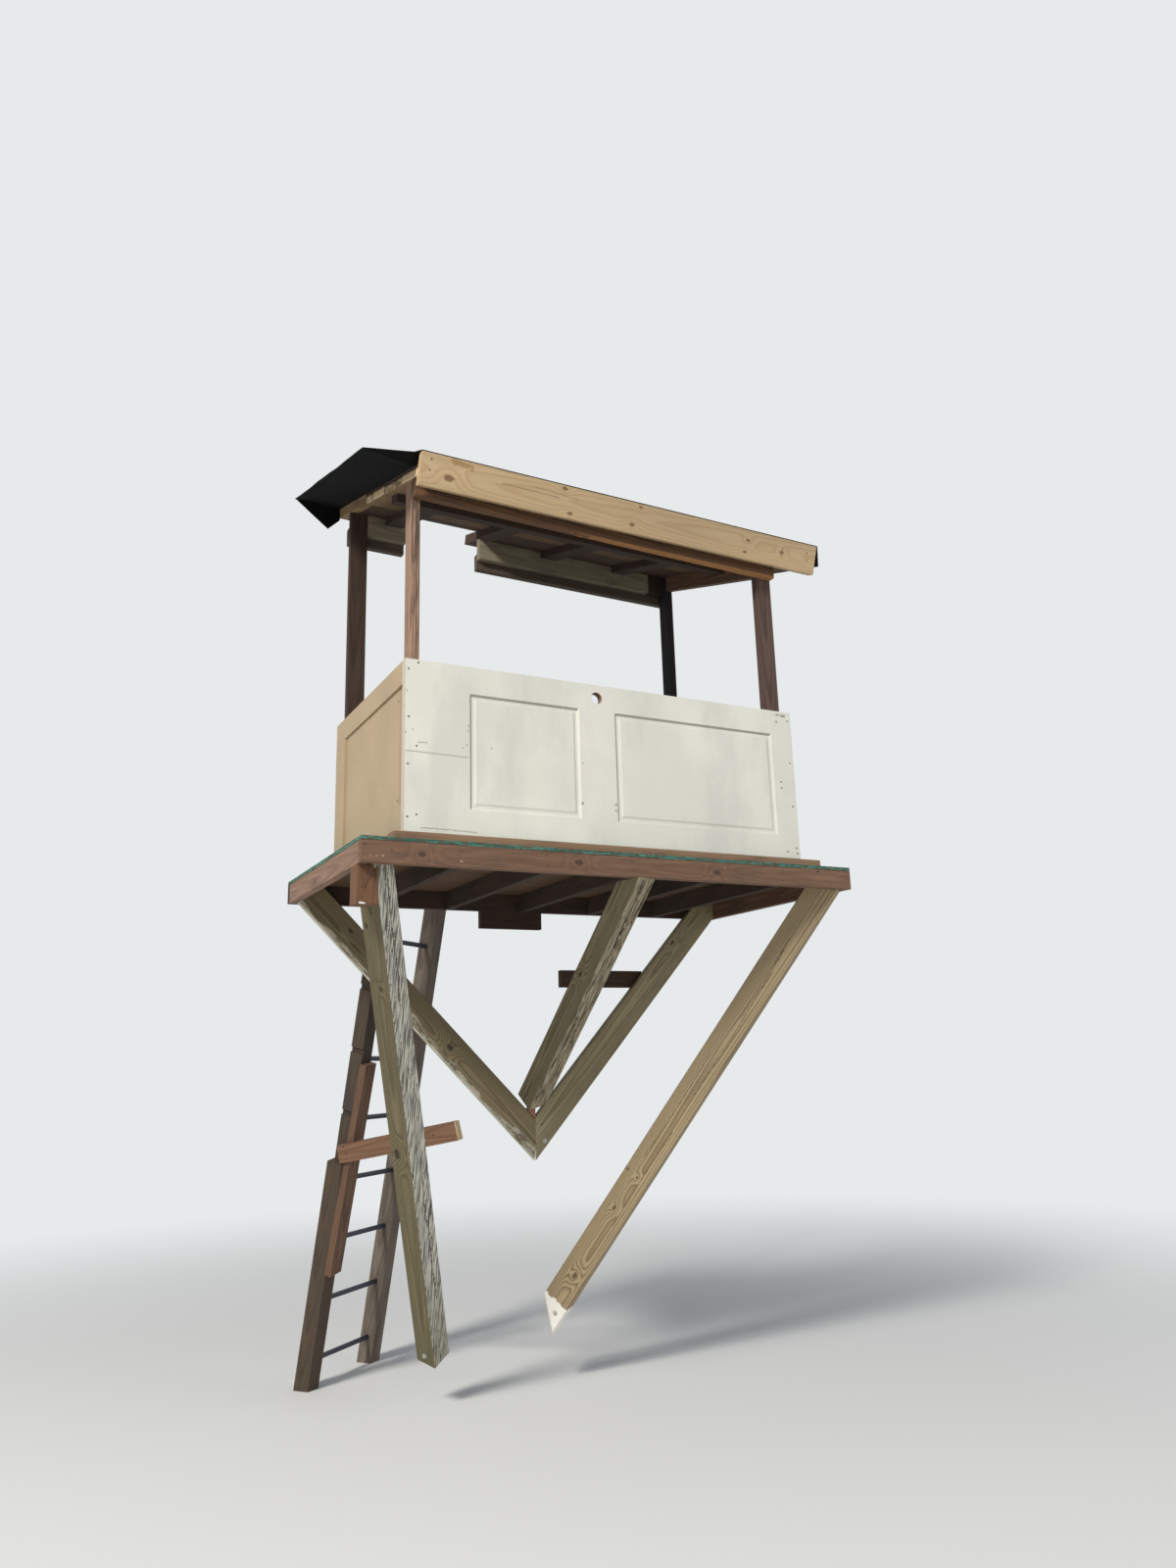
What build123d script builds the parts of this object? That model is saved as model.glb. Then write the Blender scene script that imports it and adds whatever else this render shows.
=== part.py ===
from build123d import *
import math
import os

# A tree house with an open cabin on a small timber deck, in millimetres.
# The origin is the centre of the flat back face of the cleat that is bolted to the trunk.
# +X runs along the deck to its right end, +Y points from the front of the deck into the
# trunk, and +Z is up. The walls are two old house doors laid on their sides.

# Sawn stock
stud_thick = 38  # two-by stock: thickness
stud_wide = 89  # two-by-four: width
plank_wide = 140  # two-by-six of the leg braces: width
timber_side = 110  # rough square timber of the long braces
big_timber = (89, 140)  # four-by-six of the right brace
rail_side = 89  # square post of the ladder
edge_ease = 3  # rounding on the long edges of planed two-by stock
timber_ease = 5  # rounding on the long edges of the rough timbers

# Deck
deck_length = 2438
deck_depth = 1219
deck_sheet = 17
joist_count = 5
joist_pitch = 406

# Cleat on the trunk
cleat_length = 344
cleat_centre = 1157  # from the deck's left end

# Walls
wall_inset_left = 187
wall_inset_front = 48
door_thick = 35
front_door_length = 1995
front_door_height = 737
side_door_length = 1017
side_door_height = 773
sole_wide = 89
sole_past_left = 38
sole_past_right = 118

# Moulded panels of the front door
panel_recess = 6
panel_slope = 10
panel_margin_low = 109
panel_margin_high = 121
panel_left_start = 287
panel_left_length = 524
panel_right_end = 124
panel_right_length = 879
knob_bore = 54
knob_backset = 62

# Flush panel of the side doors
side_panel_recess = 9
side_rail_low = 132
side_rail_high = 103
side_stile_back = 155

# Posts and roof
roof_inset_left = 215  # from the deck's left end to the left edge of the roof boards
roof_height = 1600  # underside of the roof boards over the deck's front left corner
roof_pitch = 17.6
roof_roll = 0.66
roof_past_right = 167  # from the right end of the front door to the end of the roof boards
roof_board = 38
roof_sheathing = 12
roof_front_boards = 519  # up the slope, to the joint between the two groups of boards
roof_mid_boards = 322
roof_back_panel = 519
edge_strip_wide = 38
header_drop = 80  # lower edge of the front header under the roof boards, at its left end
header_tilt = 1.19
fascia_wide = 146
fascia_thick = 38
fascia_drop = 44
fascia_inset = 2  # up the slope, from over the deck's front to the back of the fascia

# Gap in the roof where a stem of the tree grew through
stem_gap_left = 520
stem_gap_right = 940
stem_gap_front = 880

# Boards under the back of the roof
back_board_high = 112
back_board_lap = 39
back_block_length = 94

# Rafters and purlin under the roof
rafter_first = 396
rafter_pitch = 451
rafter_count = 4
rafter_reach = 560
purlin_start = 45

# Roofing sheet
felt_thick = 4
felt_past_left = 257
felt_rise_run = 66
felt_flap_run = 255  # torn corner that hangs down at the back of the overhang
felt_flap_point = 191
felt_flap_drop = 138
felt_flap_end = 76

# Long braces: centre lines from the underside of the deck's rim to the trunk
left_brace_top = (96, 128, -106)  # from the deck's front left corner
left_brace_foot = (-377, 87, -2212)  # from the top of the deck over the trunk face's centre
left_brace_turn = -59.8
right_brace_top = (-96, 111, -106)  # from the deck's front right corner
right_brace_foot = (242, 98, -2100)
right_brace_turn = -4.8
right_brace_tip = (234, 47, -2195)  # on the edge where the foot's slanted cut starts
right_brace_cut_faces = (-0.90, 0.38, -0.20)  # the cut lies against the side of the trunk
middle_brace_top = (123, 87, -106)  # from the deck's front edge, in line with the trunk
middle_brace_foot = (98, -41, -1060)
middle_brace_turn = -15

# Leg braces in one upright plane, meeting at a plumb joint
leg_tip_right = 101  # from the trunk face's centre
leg_tip_depth = 1352

# Small blocks and boards
corner_block_length = 156
corner_block_setback = 50
crotch_block_length = 62
crotch_block_high = 58
tie_lap = 37  # past the upper edge of the right leg brace
tie_length = 491
tie_depth = 406

# Ladder behind the left end of the deck, measured from the deck's back left corner
ladder_foot = (352, 771, -2438)
ladder_head = (453, 45, -143)
ladder_face = 40.4  # heading of the rungs, from +X towards +Y
ladder_width = 566  # between the centre lines of the two rails
rung_bore = 25
rung_count = 8
rung_first = 145  # along the rail, from its foot
rung_pitch = 308

# Splice in the left rail, measured along it from its foot
splice_height = 1165
splice_shift = 36  # the upper rail stands this far to the right of the lower one
upper_rail_deep = 72
sister_start = 616
sister_length = 1054
sister_low_shift = -11
sister_high_shift = 29
dado_first = 1412
dado_pitch = 319
dado_count = 3
dado_high = 26
dado_deep = 12

# Board nailed to the upper rail, running forward to the trunk
cross_board_rise = 46  # from the splice to the board's middle
cross_board_start = 15
cross_board_length = 708
cross_board_tilt = 24.6

os.makedirs("parts", exist_ok=True)

# Levels and faces that several pieces share
deck_left = -cleat_centre
deck_right = deck_left + deck_length
deck_front = -deck_depth
deck_top = stud_wide / 2 + stud_wide + deck_sheet
rim_top = deck_top - deck_sheet
rim_foot = rim_top - stud_wide
cleat_foot = rim_foot - stud_wide
front_left = Vector(deck_left, deck_front, deck_top)
front_right = Vector(deck_right, deck_front, deck_top)
front_middle = Vector(0, deck_front, deck_top)
back_left = Vector(deck_left, 0, deck_top)
trunk = Vector(0, 0, deck_top)

wall_left = deck_left + wall_inset_left
wall_right = wall_left + front_door_length
wall_front = deck_front + wall_inset_front
wall_back = wall_front + door_thick + side_door_length
room_left = wall_left + door_thick
room_right = wall_right - door_thick
room_front = wall_front + door_thick
sole_top = deck_top + stud_thick
front_door_top = sole_top + front_door_height

# Roof plane: the underside of the roof boards, rising to the back, a little lower at the right
roof_rise = math.tan(math.radians(roof_pitch))
roof_fall = math.tan(math.radians(roof_roll))
roof_left = deck_left + roof_inset_left
roof_length = wall_right + roof_past_right - roof_left
roof_under = Plane(
    origin=(roof_left, deck_front, deck_top + roof_height),
    x_dir=(1, 0, -roof_fall),
    z_dir=(roof_fall, -roof_rise, 1),
)
roof_mid = roof_front_boards + roof_mid_boards
roof_back = roof_mid + roof_back_panel
sheathing_top = roof_board + roof_sheathing
felt_top = sheathing_top + felt_thick


def write(piece, name):
    """Label a finished piece and save it under its own name."""
    piece.part.label = name
    export_step(piece.part, f"parts/{name}.step")


def roof_level(x, y):
    """Height of the roof boards' underside over a point."""
    return deck_top + roof_height + roof_rise * (y - deck_front) - roof_fall * (x - roof_left)


def block(x, y, z):
    """A straight square-sawn piece between pairs of faces (from, to)."""
    with BuildPart() as piece:
        with BuildSketch(Plane.XY.offset(z[0])):
            with Locations(((x[0] + x[1]) / 2, (y[0] + y[1]) / 2)):
                Rectangle(x[1] - x[0], y[1] - y[0])
        extrude(amount=z[1] - z[0])
    return piece


def stick(x, y, z, axis):
    """Planed lumber between pairs of faces, its long edges eased along the axis it runs."""
    piece = block(x, y, z)
    with piece:
        fillet(piece.edges().filter_by(axis), edge_ease)
    return piece


def roof_piece(s, t, n):
    """A slab in the roof: s along the eave, t up the slope, n square to the roof plane."""
    with BuildPart() as piece:
        with BuildSketch(roof_under.offset(n[0])):
            with Locations(((s[0] + s[1]) / 2, (t[0] + t[1]) / 2)):
                Rectangle(s[1] - s[0], t[1] - t[0])
        extrude(amount=n[1] - n[0])
    return piece


def cut_away(piece, others):
    """Trim a piece so that it seats face to face against the others."""
    with piece:
        for other in others:
            add(other.part, mode=Mode.SUBTRACT)
    return piece


def under_roof(piece):
    """Saw a piece off along the underside of the roof boards."""
    with piece:
        split(bisect_by=roof_under, keep=Keep.BOTTOM)
    return piece


def timber(top, foot, turn, past_top, past_foot, section):
    """A rough timber along the line top to foot, its faces turned about that line."""
    run = foot - top
    along = run.normalized()
    across = along.cross(Vector(0, 0, 1)).normalized().rotate(Axis((0, 0, 0), along), turn)
    with BuildPart() as piece:
        with BuildSketch(Plane(origin=top - along * past_top, x_dir=across, z_dir=along)):
            RectangleRounded(*section, timber_ease)
        extrude(amount=run.length + past_top + past_foot)
    return piece


# Deck: a rim of two-by-fours on edge, joists from front to back and one sheet on top
deck = block((deck_left, deck_right), (deck_front, 0), (rim_top, deck_top))
write(deck, "deck_sheet")

rim_z = (rim_foot, rim_top)
front_rim = stick((deck_left, deck_right), (deck_front, deck_front + stud_thick), rim_z, Axis.X)
back_rim = stick((deck_left, deck_right), (-stud_thick, 0), rim_z, Axis.X)
between_rims = (deck_front + stud_thick, -stud_thick)
left_rim = stick((deck_left, deck_left + stud_thick), between_rims, rim_z, Axis.Y)
right_rim = stick((deck_right - stud_thick, deck_right), between_rims, rim_z, Axis.Y)
write(front_rim, "rim_front")
write(back_rim, "rim_back")
write(left_rim, "rim_left")
write(right_rim, "rim_right")

with BuildPart() as joists:
    joist_centre = (deck_left + (joist_count + 1) * joist_pitch / 2, deck_front / 2)
    with BuildSketch(Plane.XY.offset(rim_foot)):
        with Locations(joist_centre):
            with GridLocations(joist_pitch, 0, joist_count, 1):
                Rectangle(stud_thick, between_rims[1] - between_rims[0])
    extrude(amount=stud_wide)
    fillet(joists.edges().filter_by(Axis.Y), edge_ease)
write(joists, "joists")

# Cleat: the piece that the trunk carries
cleat = block((-cleat_length / 2, cleat_length / 2), (-stud_thick, 0), (cleat_foot, rim_foot))
write(cleat, "trunk_cleat")

# Sole plate: a two-by-four laid flat, longer than the door that stands on it
sole = stick(
    (wall_left - sole_past_left, wall_right + sole_past_right),
    (wall_front, wall_front + sole_wide),
    (deck_top, sole_top),
    Axis.X,
)
write(sole, "sole_plate")


# Front wall: a moulded two-panel door on its side, with the bore of its lost knob
def moulded_panel(x, z):
    """A recess with sloping sides and a raised flat field, pressed into the front face."""
    centre = ((x[0] + x[1]) / 2, (z[0] + z[1]) / 2)
    face = Plane(origin=(centre[0], wall_front, centre[1]), x_dir=(1, 0, 0), z_dir=(0, -1, 0))
    length = x[1] - x[0]
    height = z[1] - z[0]
    step = 2 * panel_slope
    with BuildPart() as hollow:
        with BuildSketch(face):
            Rectangle(length, height)
        with BuildSketch(face.offset(-panel_recess)):
            Rectangle(length - step, height - step)
        loft()
    with BuildPart() as field:
        with BuildSketch(face.offset(-panel_recess)):
            Rectangle(length - 2 * step, height - 2 * step)
        with BuildSketch(face.offset(-panel_recess / 3)):
            Rectangle(length - 3 * step, height - 3 * step)
        loft()
    with hollow:
        add(field.part, mode=Mode.SUBTRACT)
    return hollow


panel_z = (sole_top + panel_margin_low, front_door_top - panel_margin_high)
left_panel_x = (wall_left + panel_left_start, wall_left + panel_left_start + panel_left_length)
right_panel_x = (wall_right - panel_right_end - panel_right_length, wall_right - panel_right_end)
knob_x = (left_panel_x[1] + right_panel_x[0]) / 2
left_panel = moulded_panel(left_panel_x, panel_z)
right_panel = moulded_panel(right_panel_x, panel_z)
with BuildPart() as front_door:
    with BuildSketch(Plane.XY.offset(sole_top)):
        with Locations(((wall_left + wall_right) / 2, wall_front + door_thick / 2)):
            Rectangle(front_door_length, door_thick)
    extrude(amount=front_door_height)
    add(left_panel.part, mode=Mode.SUBTRACT)
    add(right_panel.part, mode=Mode.SUBTRACT)
    knob_point = (knob_x, wall_front, front_door_top - knob_backset)
    with BuildSketch(Plane(origin=knob_point, x_dir=(1, 0, 0), z_dir=(0, -1, 0))):
        Circle(knob_bore / 2)
    extrude(amount=-door_thick, mode=Mode.SUBTRACT)
write(front_door, "front_door")


# Side walls: the two ends of a flush-panel door, notched over the sole plate
def side_door(outer_x, outward):
    """A rail-and-panel door end standing on the deck, panelled on its outer face."""
    leaf_length = wall_back - room_front
    panel_length = leaf_length - side_stile_back
    panel_high = side_door_height - side_rail_low - side_rail_high
    foot_plane = Plane(
        origin=(outer_x, room_front, deck_top), x_dir=(0, outward, 0), z_dir=(outward, 0, 0)
    )
    side = Align.MIN if outward > 0 else Align.MAX
    with BuildPart() as leaf:
        with BuildSketch(foot_plane):
            Rectangle(leaf_length, side_door_height, align=(side, Align.MIN))
        extrude(amount=-door_thick)
        with BuildSketch(foot_plane):
            with Locations((0, side_rail_low)):
                Rectangle(panel_length, panel_high, align=(side, Align.MIN))
        extrude(amount=-side_panel_recess, mode=Mode.SUBTRACT)
    return cut_away(leaf, [sole])


left_door = side_door(wall_left, -1)
right_door = side_door(wall_right, 1)
write(left_door, "side_door_left")
write(right_door, "side_door_right")

# Corner posts: sawn off under the roof
post_head = deck_top + 2 * roof_height
left_post_x = (room_left, room_left + stud_thick)
wide_post_x = (room_right - stud_wide, room_right)
thin_post_x = (room_right - stud_thick, room_right)
back_post_y = (wall_back - stud_thick, wall_back)
deep_post_y = (wall_back - stud_wide, wall_back)
post_z = (deck_top, post_head)

post_front_left = stick(left_post_x, (room_front, room_front + stud_wide), post_z, Axis.Z)
post_front_right = stick(wide_post_x, (room_front, room_front + stud_thick), post_z, Axis.Z)
post_back_left = stick((room_left, room_left + stud_wide), back_post_y, post_z, Axis.Z)
post_back_right = stick(thin_post_x, deep_post_y, post_z, Axis.Z)
cut_away(post_front_left, [sole])
cut_away(post_front_right, [sole])
write(under_roof(post_front_left), "post_front_left")
write(under_roof(post_front_right), "post_front_right")
write(under_roof(post_back_left), "post_back_left")
write(under_roof(post_back_right), "post_back_right")

# Front header: on edge across the front faces of the two front posts
header_low = roof_level(room_left, room_front) - header_drop - stud_thick * roof_rise
header_line = Plane(
    origin=(room_left, room_front, header_low),
    x_dir=(math.cos(math.radians(header_tilt)), 0, -math.sin(math.radians(header_tilt))),
    z_dir=(0, -1, 0),
)
header_run = room_right - room_left
with BuildPart() as header:
    with BuildSketch(header_line):
        Rectangle(header_run, stud_wide, align=(Align.MIN, Align.MIN))
    extrude(amount=stud_thick)
write(under_roof(header), "header_front")

# Roof: boards, one back panel, a strip at the left edge and thin sheathing over them
gap_s = (stem_gap_left - roof_inset_left, stem_gap_right - roof_inset_left)
gap_t = stem_gap_front / math.cos(math.radians(roof_pitch))
stem_gap = roof_piece(gap_s, (gap_t, 2 * roof_back), (-fascia_wide, fascia_wide))
roof_s = (0, roof_length)
inner_s = (edge_strip_wide, roof_length)
board_n = (0, roof_board)
front_boards = roof_piece(roof_s, (fascia_inset, roof_front_boards), board_n)
mid_boards = roof_piece(roof_s, (roof_front_boards, roof_mid), board_n)
back_panel = roof_piece(inner_s, (roof_mid, roof_back), board_n)
edge_strip = roof_piece((0, edge_strip_wide), (roof_mid, roof_back), (0, sheathing_top))
sheathing = roof_piece(roof_s, (fascia_inset, roof_back), (roof_board, sheathing_top))
cut_away(sheathing, [edge_strip, stem_gap])
cut_away(back_panel, [stem_gap])
write(front_boards, "roof_boards_front")
write(mid_boards, "roof_boards_middle")
write(back_panel, "roof_panel_back")
write(edge_strip, "roof_edge_strip")
write(sheathing, "roof_sheathing")

# Fascia: square to the slope, so its top leans forward
fascia_n = (-fascia_drop, fascia_wide - fascia_drop)
fascia = roof_piece(roof_s, (fascia_inset - fascia_thick, fascia_inset), fascia_n)
write(fascia, "fascia")

# Roofing: one black sheet over the fascia and the boards. Past the left edge it sinks from
# the top of the fascia to the level of the boards, and a torn corner hangs at the back.
felt_front = fascia_inset - fascia_thick
felt_crest = fascia_n[1] - sheathing_top
flap_foot = ((felt_front, -fascia_drop), (roof_back, -fascia_drop))


def felt_section(along_eave):
    """The plane square to the eave, with the slope along x and the roof's normal along y."""
    return Plane(
        origin=roof_under.from_local_coords((along_eave, 0, 0)),
        x_dir=roof_under.y_dir,
        z_dir=roof_under.x_dir,
    )


def felt_outline(crest):
    """The sheet's section, with its front end raised by the crest over the fascia."""
    low_t = fascia_inset + felt_rise_run
    return (
        (roof_back, sheathing_top),
        (low_t, sheathing_top),
        (fascia_inset, sheathing_top + crest),
        (felt_front, sheathing_top + crest),
        (felt_front, felt_top + crest),
        (fascia_inset + felt_thick / 2, felt_top + crest),
        (low_t + felt_thick / 2, felt_top),
        (roof_back, felt_top),
    )


with BuildPart() as roofing:
    for edge, crest in ((-felt_past_left, 0), (0, felt_crest)):
        with BuildSketch(felt_section(edge)):
            with BuildLine():
                Polyline(*felt_outline(crest), close=True)
            make_face()
    loft(ruled=True)
    with BuildSketch(felt_section(0)):
        with BuildLine():
            Polyline(*felt_outline(felt_crest), close=True)
        make_face()
    extrude(amount=roof_length + felt_thick)
    with BuildSketch(felt_section(roof_length)):
        with BuildLine():
            Polyline(*felt_outline(felt_crest)[:4], *flap_foot, close=True)
        make_face()
    extrude(amount=felt_thick)
    back_corner = roof_under.from_local_coords((-felt_past_left, roof_back, felt_top))
    flap_plane = Plane(origin=back_corner, x_dir=(1, 0, 0), z_dir=(0, -1, 0))
    with BuildSketch(flap_plane):
        with BuildLine():
            fall = felt_flap_run * roof_fall
            Polyline(
                (0, 0),
                (felt_flap_point, -felt_flap_drop),
                (felt_flap_run, -felt_flap_end),
                (felt_flap_run, -fall),
                close=True,
            )
        make_face()
    extrude(amount=felt_thick)
write(cut_away(roofing, [stem_gap, edge_strip, sheathing]), "roofing")

# Right rake: on edge under the roof boards between the two right posts
rake_y = (room_front + stud_thick, wall_back - stud_wide)
with BuildPart() as rake:
    with BuildSketch(Plane(origin=(room_right, 0, 0), x_dir=(0, 1, 0), z_dir=(1, 0, 0))):
        with BuildLine():
            rake_top = [roof_level(room_right, y) for y in rake_y]
            Polyline(
                (rake_y[0], rake_top[0] - stud_wide),
                (rake_y[1], rake_top[1] - stud_wide),
                (rake_y[1], rake_top[1] + stud_thick),
                (rake_y[0], rake_top[0] + stud_thick),
                close=True,
            )
        make_face()
    extrude(amount=-stud_thick)
write(under_roof(rake), "rake_right")

# Purlin and rafters: two-by-fours laid flat under the boards
purlin = roof_piece(
    (purlin_start, room_right - stud_thick / 2 - roof_left),
    (roof_front_boards - stud_wide, roof_front_boards),
    (-stud_thick, 0),
)
write(cut_away(purlin, [rake]), "purlin")
with BuildPart() as rafters:
    rafter_centre = (
        rafter_first - roof_inset_left + stud_wide / 2 + rafter_pitch * (rafter_count - 1) / 2,
        roof_front_boards + rafter_reach / 2,
    )
    with BuildSketch(roof_under.offset(-stud_thick)):
        with Locations(rafter_centre):
            with GridLocations(rafter_pitch, 0, rafter_count, 1):
                Rectangle(stud_wide, rafter_reach)
    extrude(amount=stud_thick)
write(cut_away(rafters, [stem_gap]), "rafters")


# Boards under the back of the roof, broken off where the stem grew through
def back_board(x, y, top_drop, high):
    """A board on edge that follows the roof's roll, its top a given drop under the roof."""
    top = roof_level(x[0], wall_back) - top_drop
    fall = roof_fall * (x[1] - x[0])
    with BuildPart() as piece:
        with BuildSketch(Plane(origin=(0, y[1], 0), x_dir=(1, 0, 0), z_dir=(0, -1, 0))):
            with BuildLine():
                Polyline(
                    (x[0], top),
                    (x[1], top - fall),
                    (x[1], top - fall - high),
                    (x[0], top - high),
                    close=True,
                )
            make_face()
        extrude(amount=y[1] - y[0])
    return piece


inner_back_y = back_post_y
outer_back_y = (wall_back, wall_back + stud_thick)
board_left_x = room_left + stud_wide
board_right_x = room_right - stud_thick - back_block_length
cap = stud_thick * roof_rise
white_board = back_board((board_left_x, board_right_x), inner_back_y, 0, back_board_high + cap)
block_x = (board_right_x, thin_post_x[0])
back_block = back_board(block_x, inner_back_y, 0, back_board_high + cap)
lower_drop = back_board_high + cap - back_board_lap
stretcher = back_board((room_left, room_right), outer_back_y, lower_drop, stud_wide)
stem_x = (deck_left + stem_gap_left, deck_left + stem_gap_right)
stem_way = block(stem_x, (back_post_y[0], outer_back_y[1]), (front_door_top, post_head))
write(cut_away(under_roof(white_board), [stem_way]), "back_board")
write(under_roof(back_block), "back_block")
write(cut_away(stretcher, [stem_way]), "back_stretcher")

# Leg braces: two planks in one upright plane, joined plumb at their tip
leg_y = (-stud_thick - stud_thick, -stud_thick)
tip = Vector(leg_tip_right, leg_y[1], deck_top - leg_tip_depth)
leg_plane = Plane(origin=(0, leg_y[1], 0), x_dir=(1, 0, 0), z_dir=(0, -1, 0))


def leg(side_x, toward):
    """One plank from the inner face of a side rim down to the shared tip."""
    heel = Vector(side_x, leg_y[1], rim_foot)
    along = (heel - tip).normalized()
    up = Vector(toward * abs(along.Z), 0, abs(along.X))
    reach = 2 * plank_wide
    low_end = tip - along * reach
    high_end = heel + along * reach
    with BuildPart() as piece:
        with BuildSketch(leg_plane):
            with BuildLine():
                Polyline(
                    (low_end.X, low_end.Z),
                    (high_end.X, high_end.Z),
                    ((high_end + up * plank_wide).X, (high_end + up * plank_wide).Z),
                    ((low_end + up * plank_wide).X, (low_end + up * plank_wide).Z),
                    close=True,
                )
            make_face()
        extrude(amount=stud_thick)
        fillet(piece.edges().group_by(SortBy.LENGTH)[-1], edge_ease)
        joint = Plane(origin=tip, x_dir=(0, 1, 0), z_dir=(toward, 0, 0))
        split(bisect_by=joint, keep=Keep.BOTTOM)
        split(bisect_by=Plane.XY.offset(rim_top), keep=Keep.BOTTOM)
        side = Plane(origin=(side_x, 0, 0), x_dir=(0, 1, 0), z_dir=(toward, 0, 0))
        split(bisect_by=side, keep=Keep.TOP)
    return piece


leg_left = leg(deck_left + stud_thick, 1)
leg_right = leg(deck_right - stud_thick, -1)
write(leg_left, "leg_brace_left")
write(leg_right, "leg_brace_right")

# Small block in the crotch, on the upper edge of the left leg brace
left_slope = (Vector(deck_left + stud_thick, leg_y[1], rim_foot) - tip).normalized()
crotch_rise = plank_wide / abs(left_slope.X)
with BuildPart() as crotch_block:
    seat = Plane(
        origin=tip + Vector(0, 0, crotch_rise),
        x_dir=left_slope,
        z_dir=(0, -1, 0),
    )
    with BuildSketch(seat):
        Rectangle(crotch_block_length, crotch_block_high, align=(Align.MIN, Align.MAX))
    extrude(amount=stud_thick)
    split(bisect_by=Plane(origin=tip, x_dir=(0, 1, 0), z_dir=(1, 0, 0)), keep=Keep.BOTTOM)

# Tie board behind the right leg brace, ending just past that plank's upper edge
right_slope = (Vector(deck_right - stud_thick, leg_y[1], rim_foot) - tip).normalized()
edge_start = tip + Vector(-right_slope.Z, 0, right_slope.X) * plank_wide
tie_top = deck_top - tie_depth
tie_climb = tie_top - stud_wide / 2 - edge_start.Z
tie_end = edge_start.X + tie_climb * right_slope.X / right_slope.Z + tie_lap
tie_z = (tie_top - stud_wide, tie_top)
tie_board = stick((tie_end - tie_length, tie_end), (-stud_thick, 0), tie_z, Axis.X)
write(tie_board, "tie_board")

# Corner block under the front left corner of the rim
corner_block = block(
    (deck_left, deck_left + stud_wide),
    (deck_front + corner_block_setback, deck_front + corner_block_setback + stud_wide),
    (rim_foot - corner_block_length, rim_foot),
)

# Long braces: they run up between the rims to the deck sheet
head_room = 2 * timber_side
inside_x = (deck_left + stud_thick, deck_right - stud_thick)
margin = 2 * timber_side
outside_x = (deck_left - margin, deck_right + margin)
outside_rims = block(outside_x, (deck_front - margin, margin), (rim_foot, rim_top + margin))
cut_away(outside_rims, [block(inside_x, between_rims, rim_z)])


def long_brace(top, foot, turn, neighbours, past_foot=0, section=(timber_side, timber_side)):
    """A rough timber from under the deck sheet to the trunk, trimmed by what it meets."""
    piece = timber(top, foot, turn, head_room, past_foot, section)
    return cut_away(piece, [outside_rims] + neighbours)


brace_left = long_brace(
    front_left + Vector(*left_brace_top), trunk + Vector(*left_brace_foot), left_brace_turn, []
)
brace_right = long_brace(
    front_right + Vector(*right_brace_top),
    trunk + Vector(*right_brace_foot),
    right_brace_turn,
    [],
    past_foot=2 * timber_side,
    section=big_timber,
)
with brace_right:
    foot_cut = Plane(origin=trunk + Vector(*right_brace_tip), z_dir=right_brace_cut_faces)
    split(bisect_by=foot_cut, keep=Keep.BOTTOM)
brace_middle = long_brace(
    front_middle + Vector(*middle_brace_top),
    trunk + Vector(*middle_brace_foot),
    middle_brace_turn,
    [joists, leg_left, leg_right],
)
write(cut_away(crotch_block, [leg_left, leg_right, brace_middle]), "crotch_block")
write(cut_away(corner_block, [brace_left]), "corner_block")
write(brace_left, "brace_front_left")
write(brace_right, "brace_front_right")
write(brace_middle, "brace_middle")

# Ladder: two posts leaning towards the deck, with round metal rungs between them
foot = back_left + Vector(*ladder_foot)
lean = (back_left + Vector(*ladder_head) - foot).normalized()
heading = math.radians(ladder_face)
rung_way = Vector(math.cos(heading), math.sin(heading), 0)
ladder = Plane(origin=foot, x_dir=rung_way, z_dir=lean)
ladder_front = -rail_side / 2
rail_end = (deck_top - foot.Z) / lean.Z
ground = Plane.XY.offset(foot.Z)


def ladder_rail(base, length, deep):
    """A post with one face towards the other rail, its front face in line with the others."""
    with BuildPart() as piece:
        with BuildSketch(Plane(origin=base, x_dir=ladder.x_dir, z_dir=lean)):
            with Locations((0, ladder_front + deep / 2)):
                RectangleRounded(rail_side, deep, edge_ease)
        extrude(amount=length)
        split(bisect_by=ground, keep=Keep.TOP)
    return piece


rail_low = ladder_rail(foot - lean * rail_side, splice_height + rail_side, rail_side)
splice = ladder.from_local_coords((splice_shift, 0, splice_height))
rail_high = ladder_rail(splice, rail_end - splice_height, upper_rail_deep)
rail_right_foot = foot + rung_way * ladder_width
rail_right = ladder_rail(rail_right_foot - lean * rail_side, rail_end + rail_side, rail_side)

# Old housings across the outer face of the upper rail
dado_side = Plane(
    origin=ladder.from_local_coords((splice_shift - rail_side / 2, 0, 0)),
    x_dir=-ladder.y_dir,
    z_dir=-ladder.x_dir,
)
with BuildPart() as dados:
    with BuildSketch(dado_side):
        with Locations((0, dado_first + dado_pitch * (dado_count - 1) / 2)):
            with GridLocations(0, dado_pitch, 1, dado_count):
                Rectangle(2 * rail_side, dado_high)
    extrude(amount=-dado_deep)
head_cut = block(outside_x, (deck_front, 0), (rim_foot - stud_wide, deck_top + rail_side))
cut_away(rail_high, [dados, head_cut])
level_head = Plane.XY.offset(rim_top)
with rail_high:
    split(bisect_by=level_head, keep=Keep.BOTTOM)
with rail_right:
    split(bisect_by=level_head, keep=Keep.BOTTOM)

# Board from the upper rail forward to the trunk
with BuildPart() as cross_board:
    with BuildSketch(dado_side):
        with Locations((cross_board_start, splice_height + cross_board_rise)):
            Rectangle(
                cross_board_length,
                stud_wide,
                rotation=cross_board_tilt,
                align=(Align.MIN, Align.CENTER),
            )
    extrude(amount=stud_thick)

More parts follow.
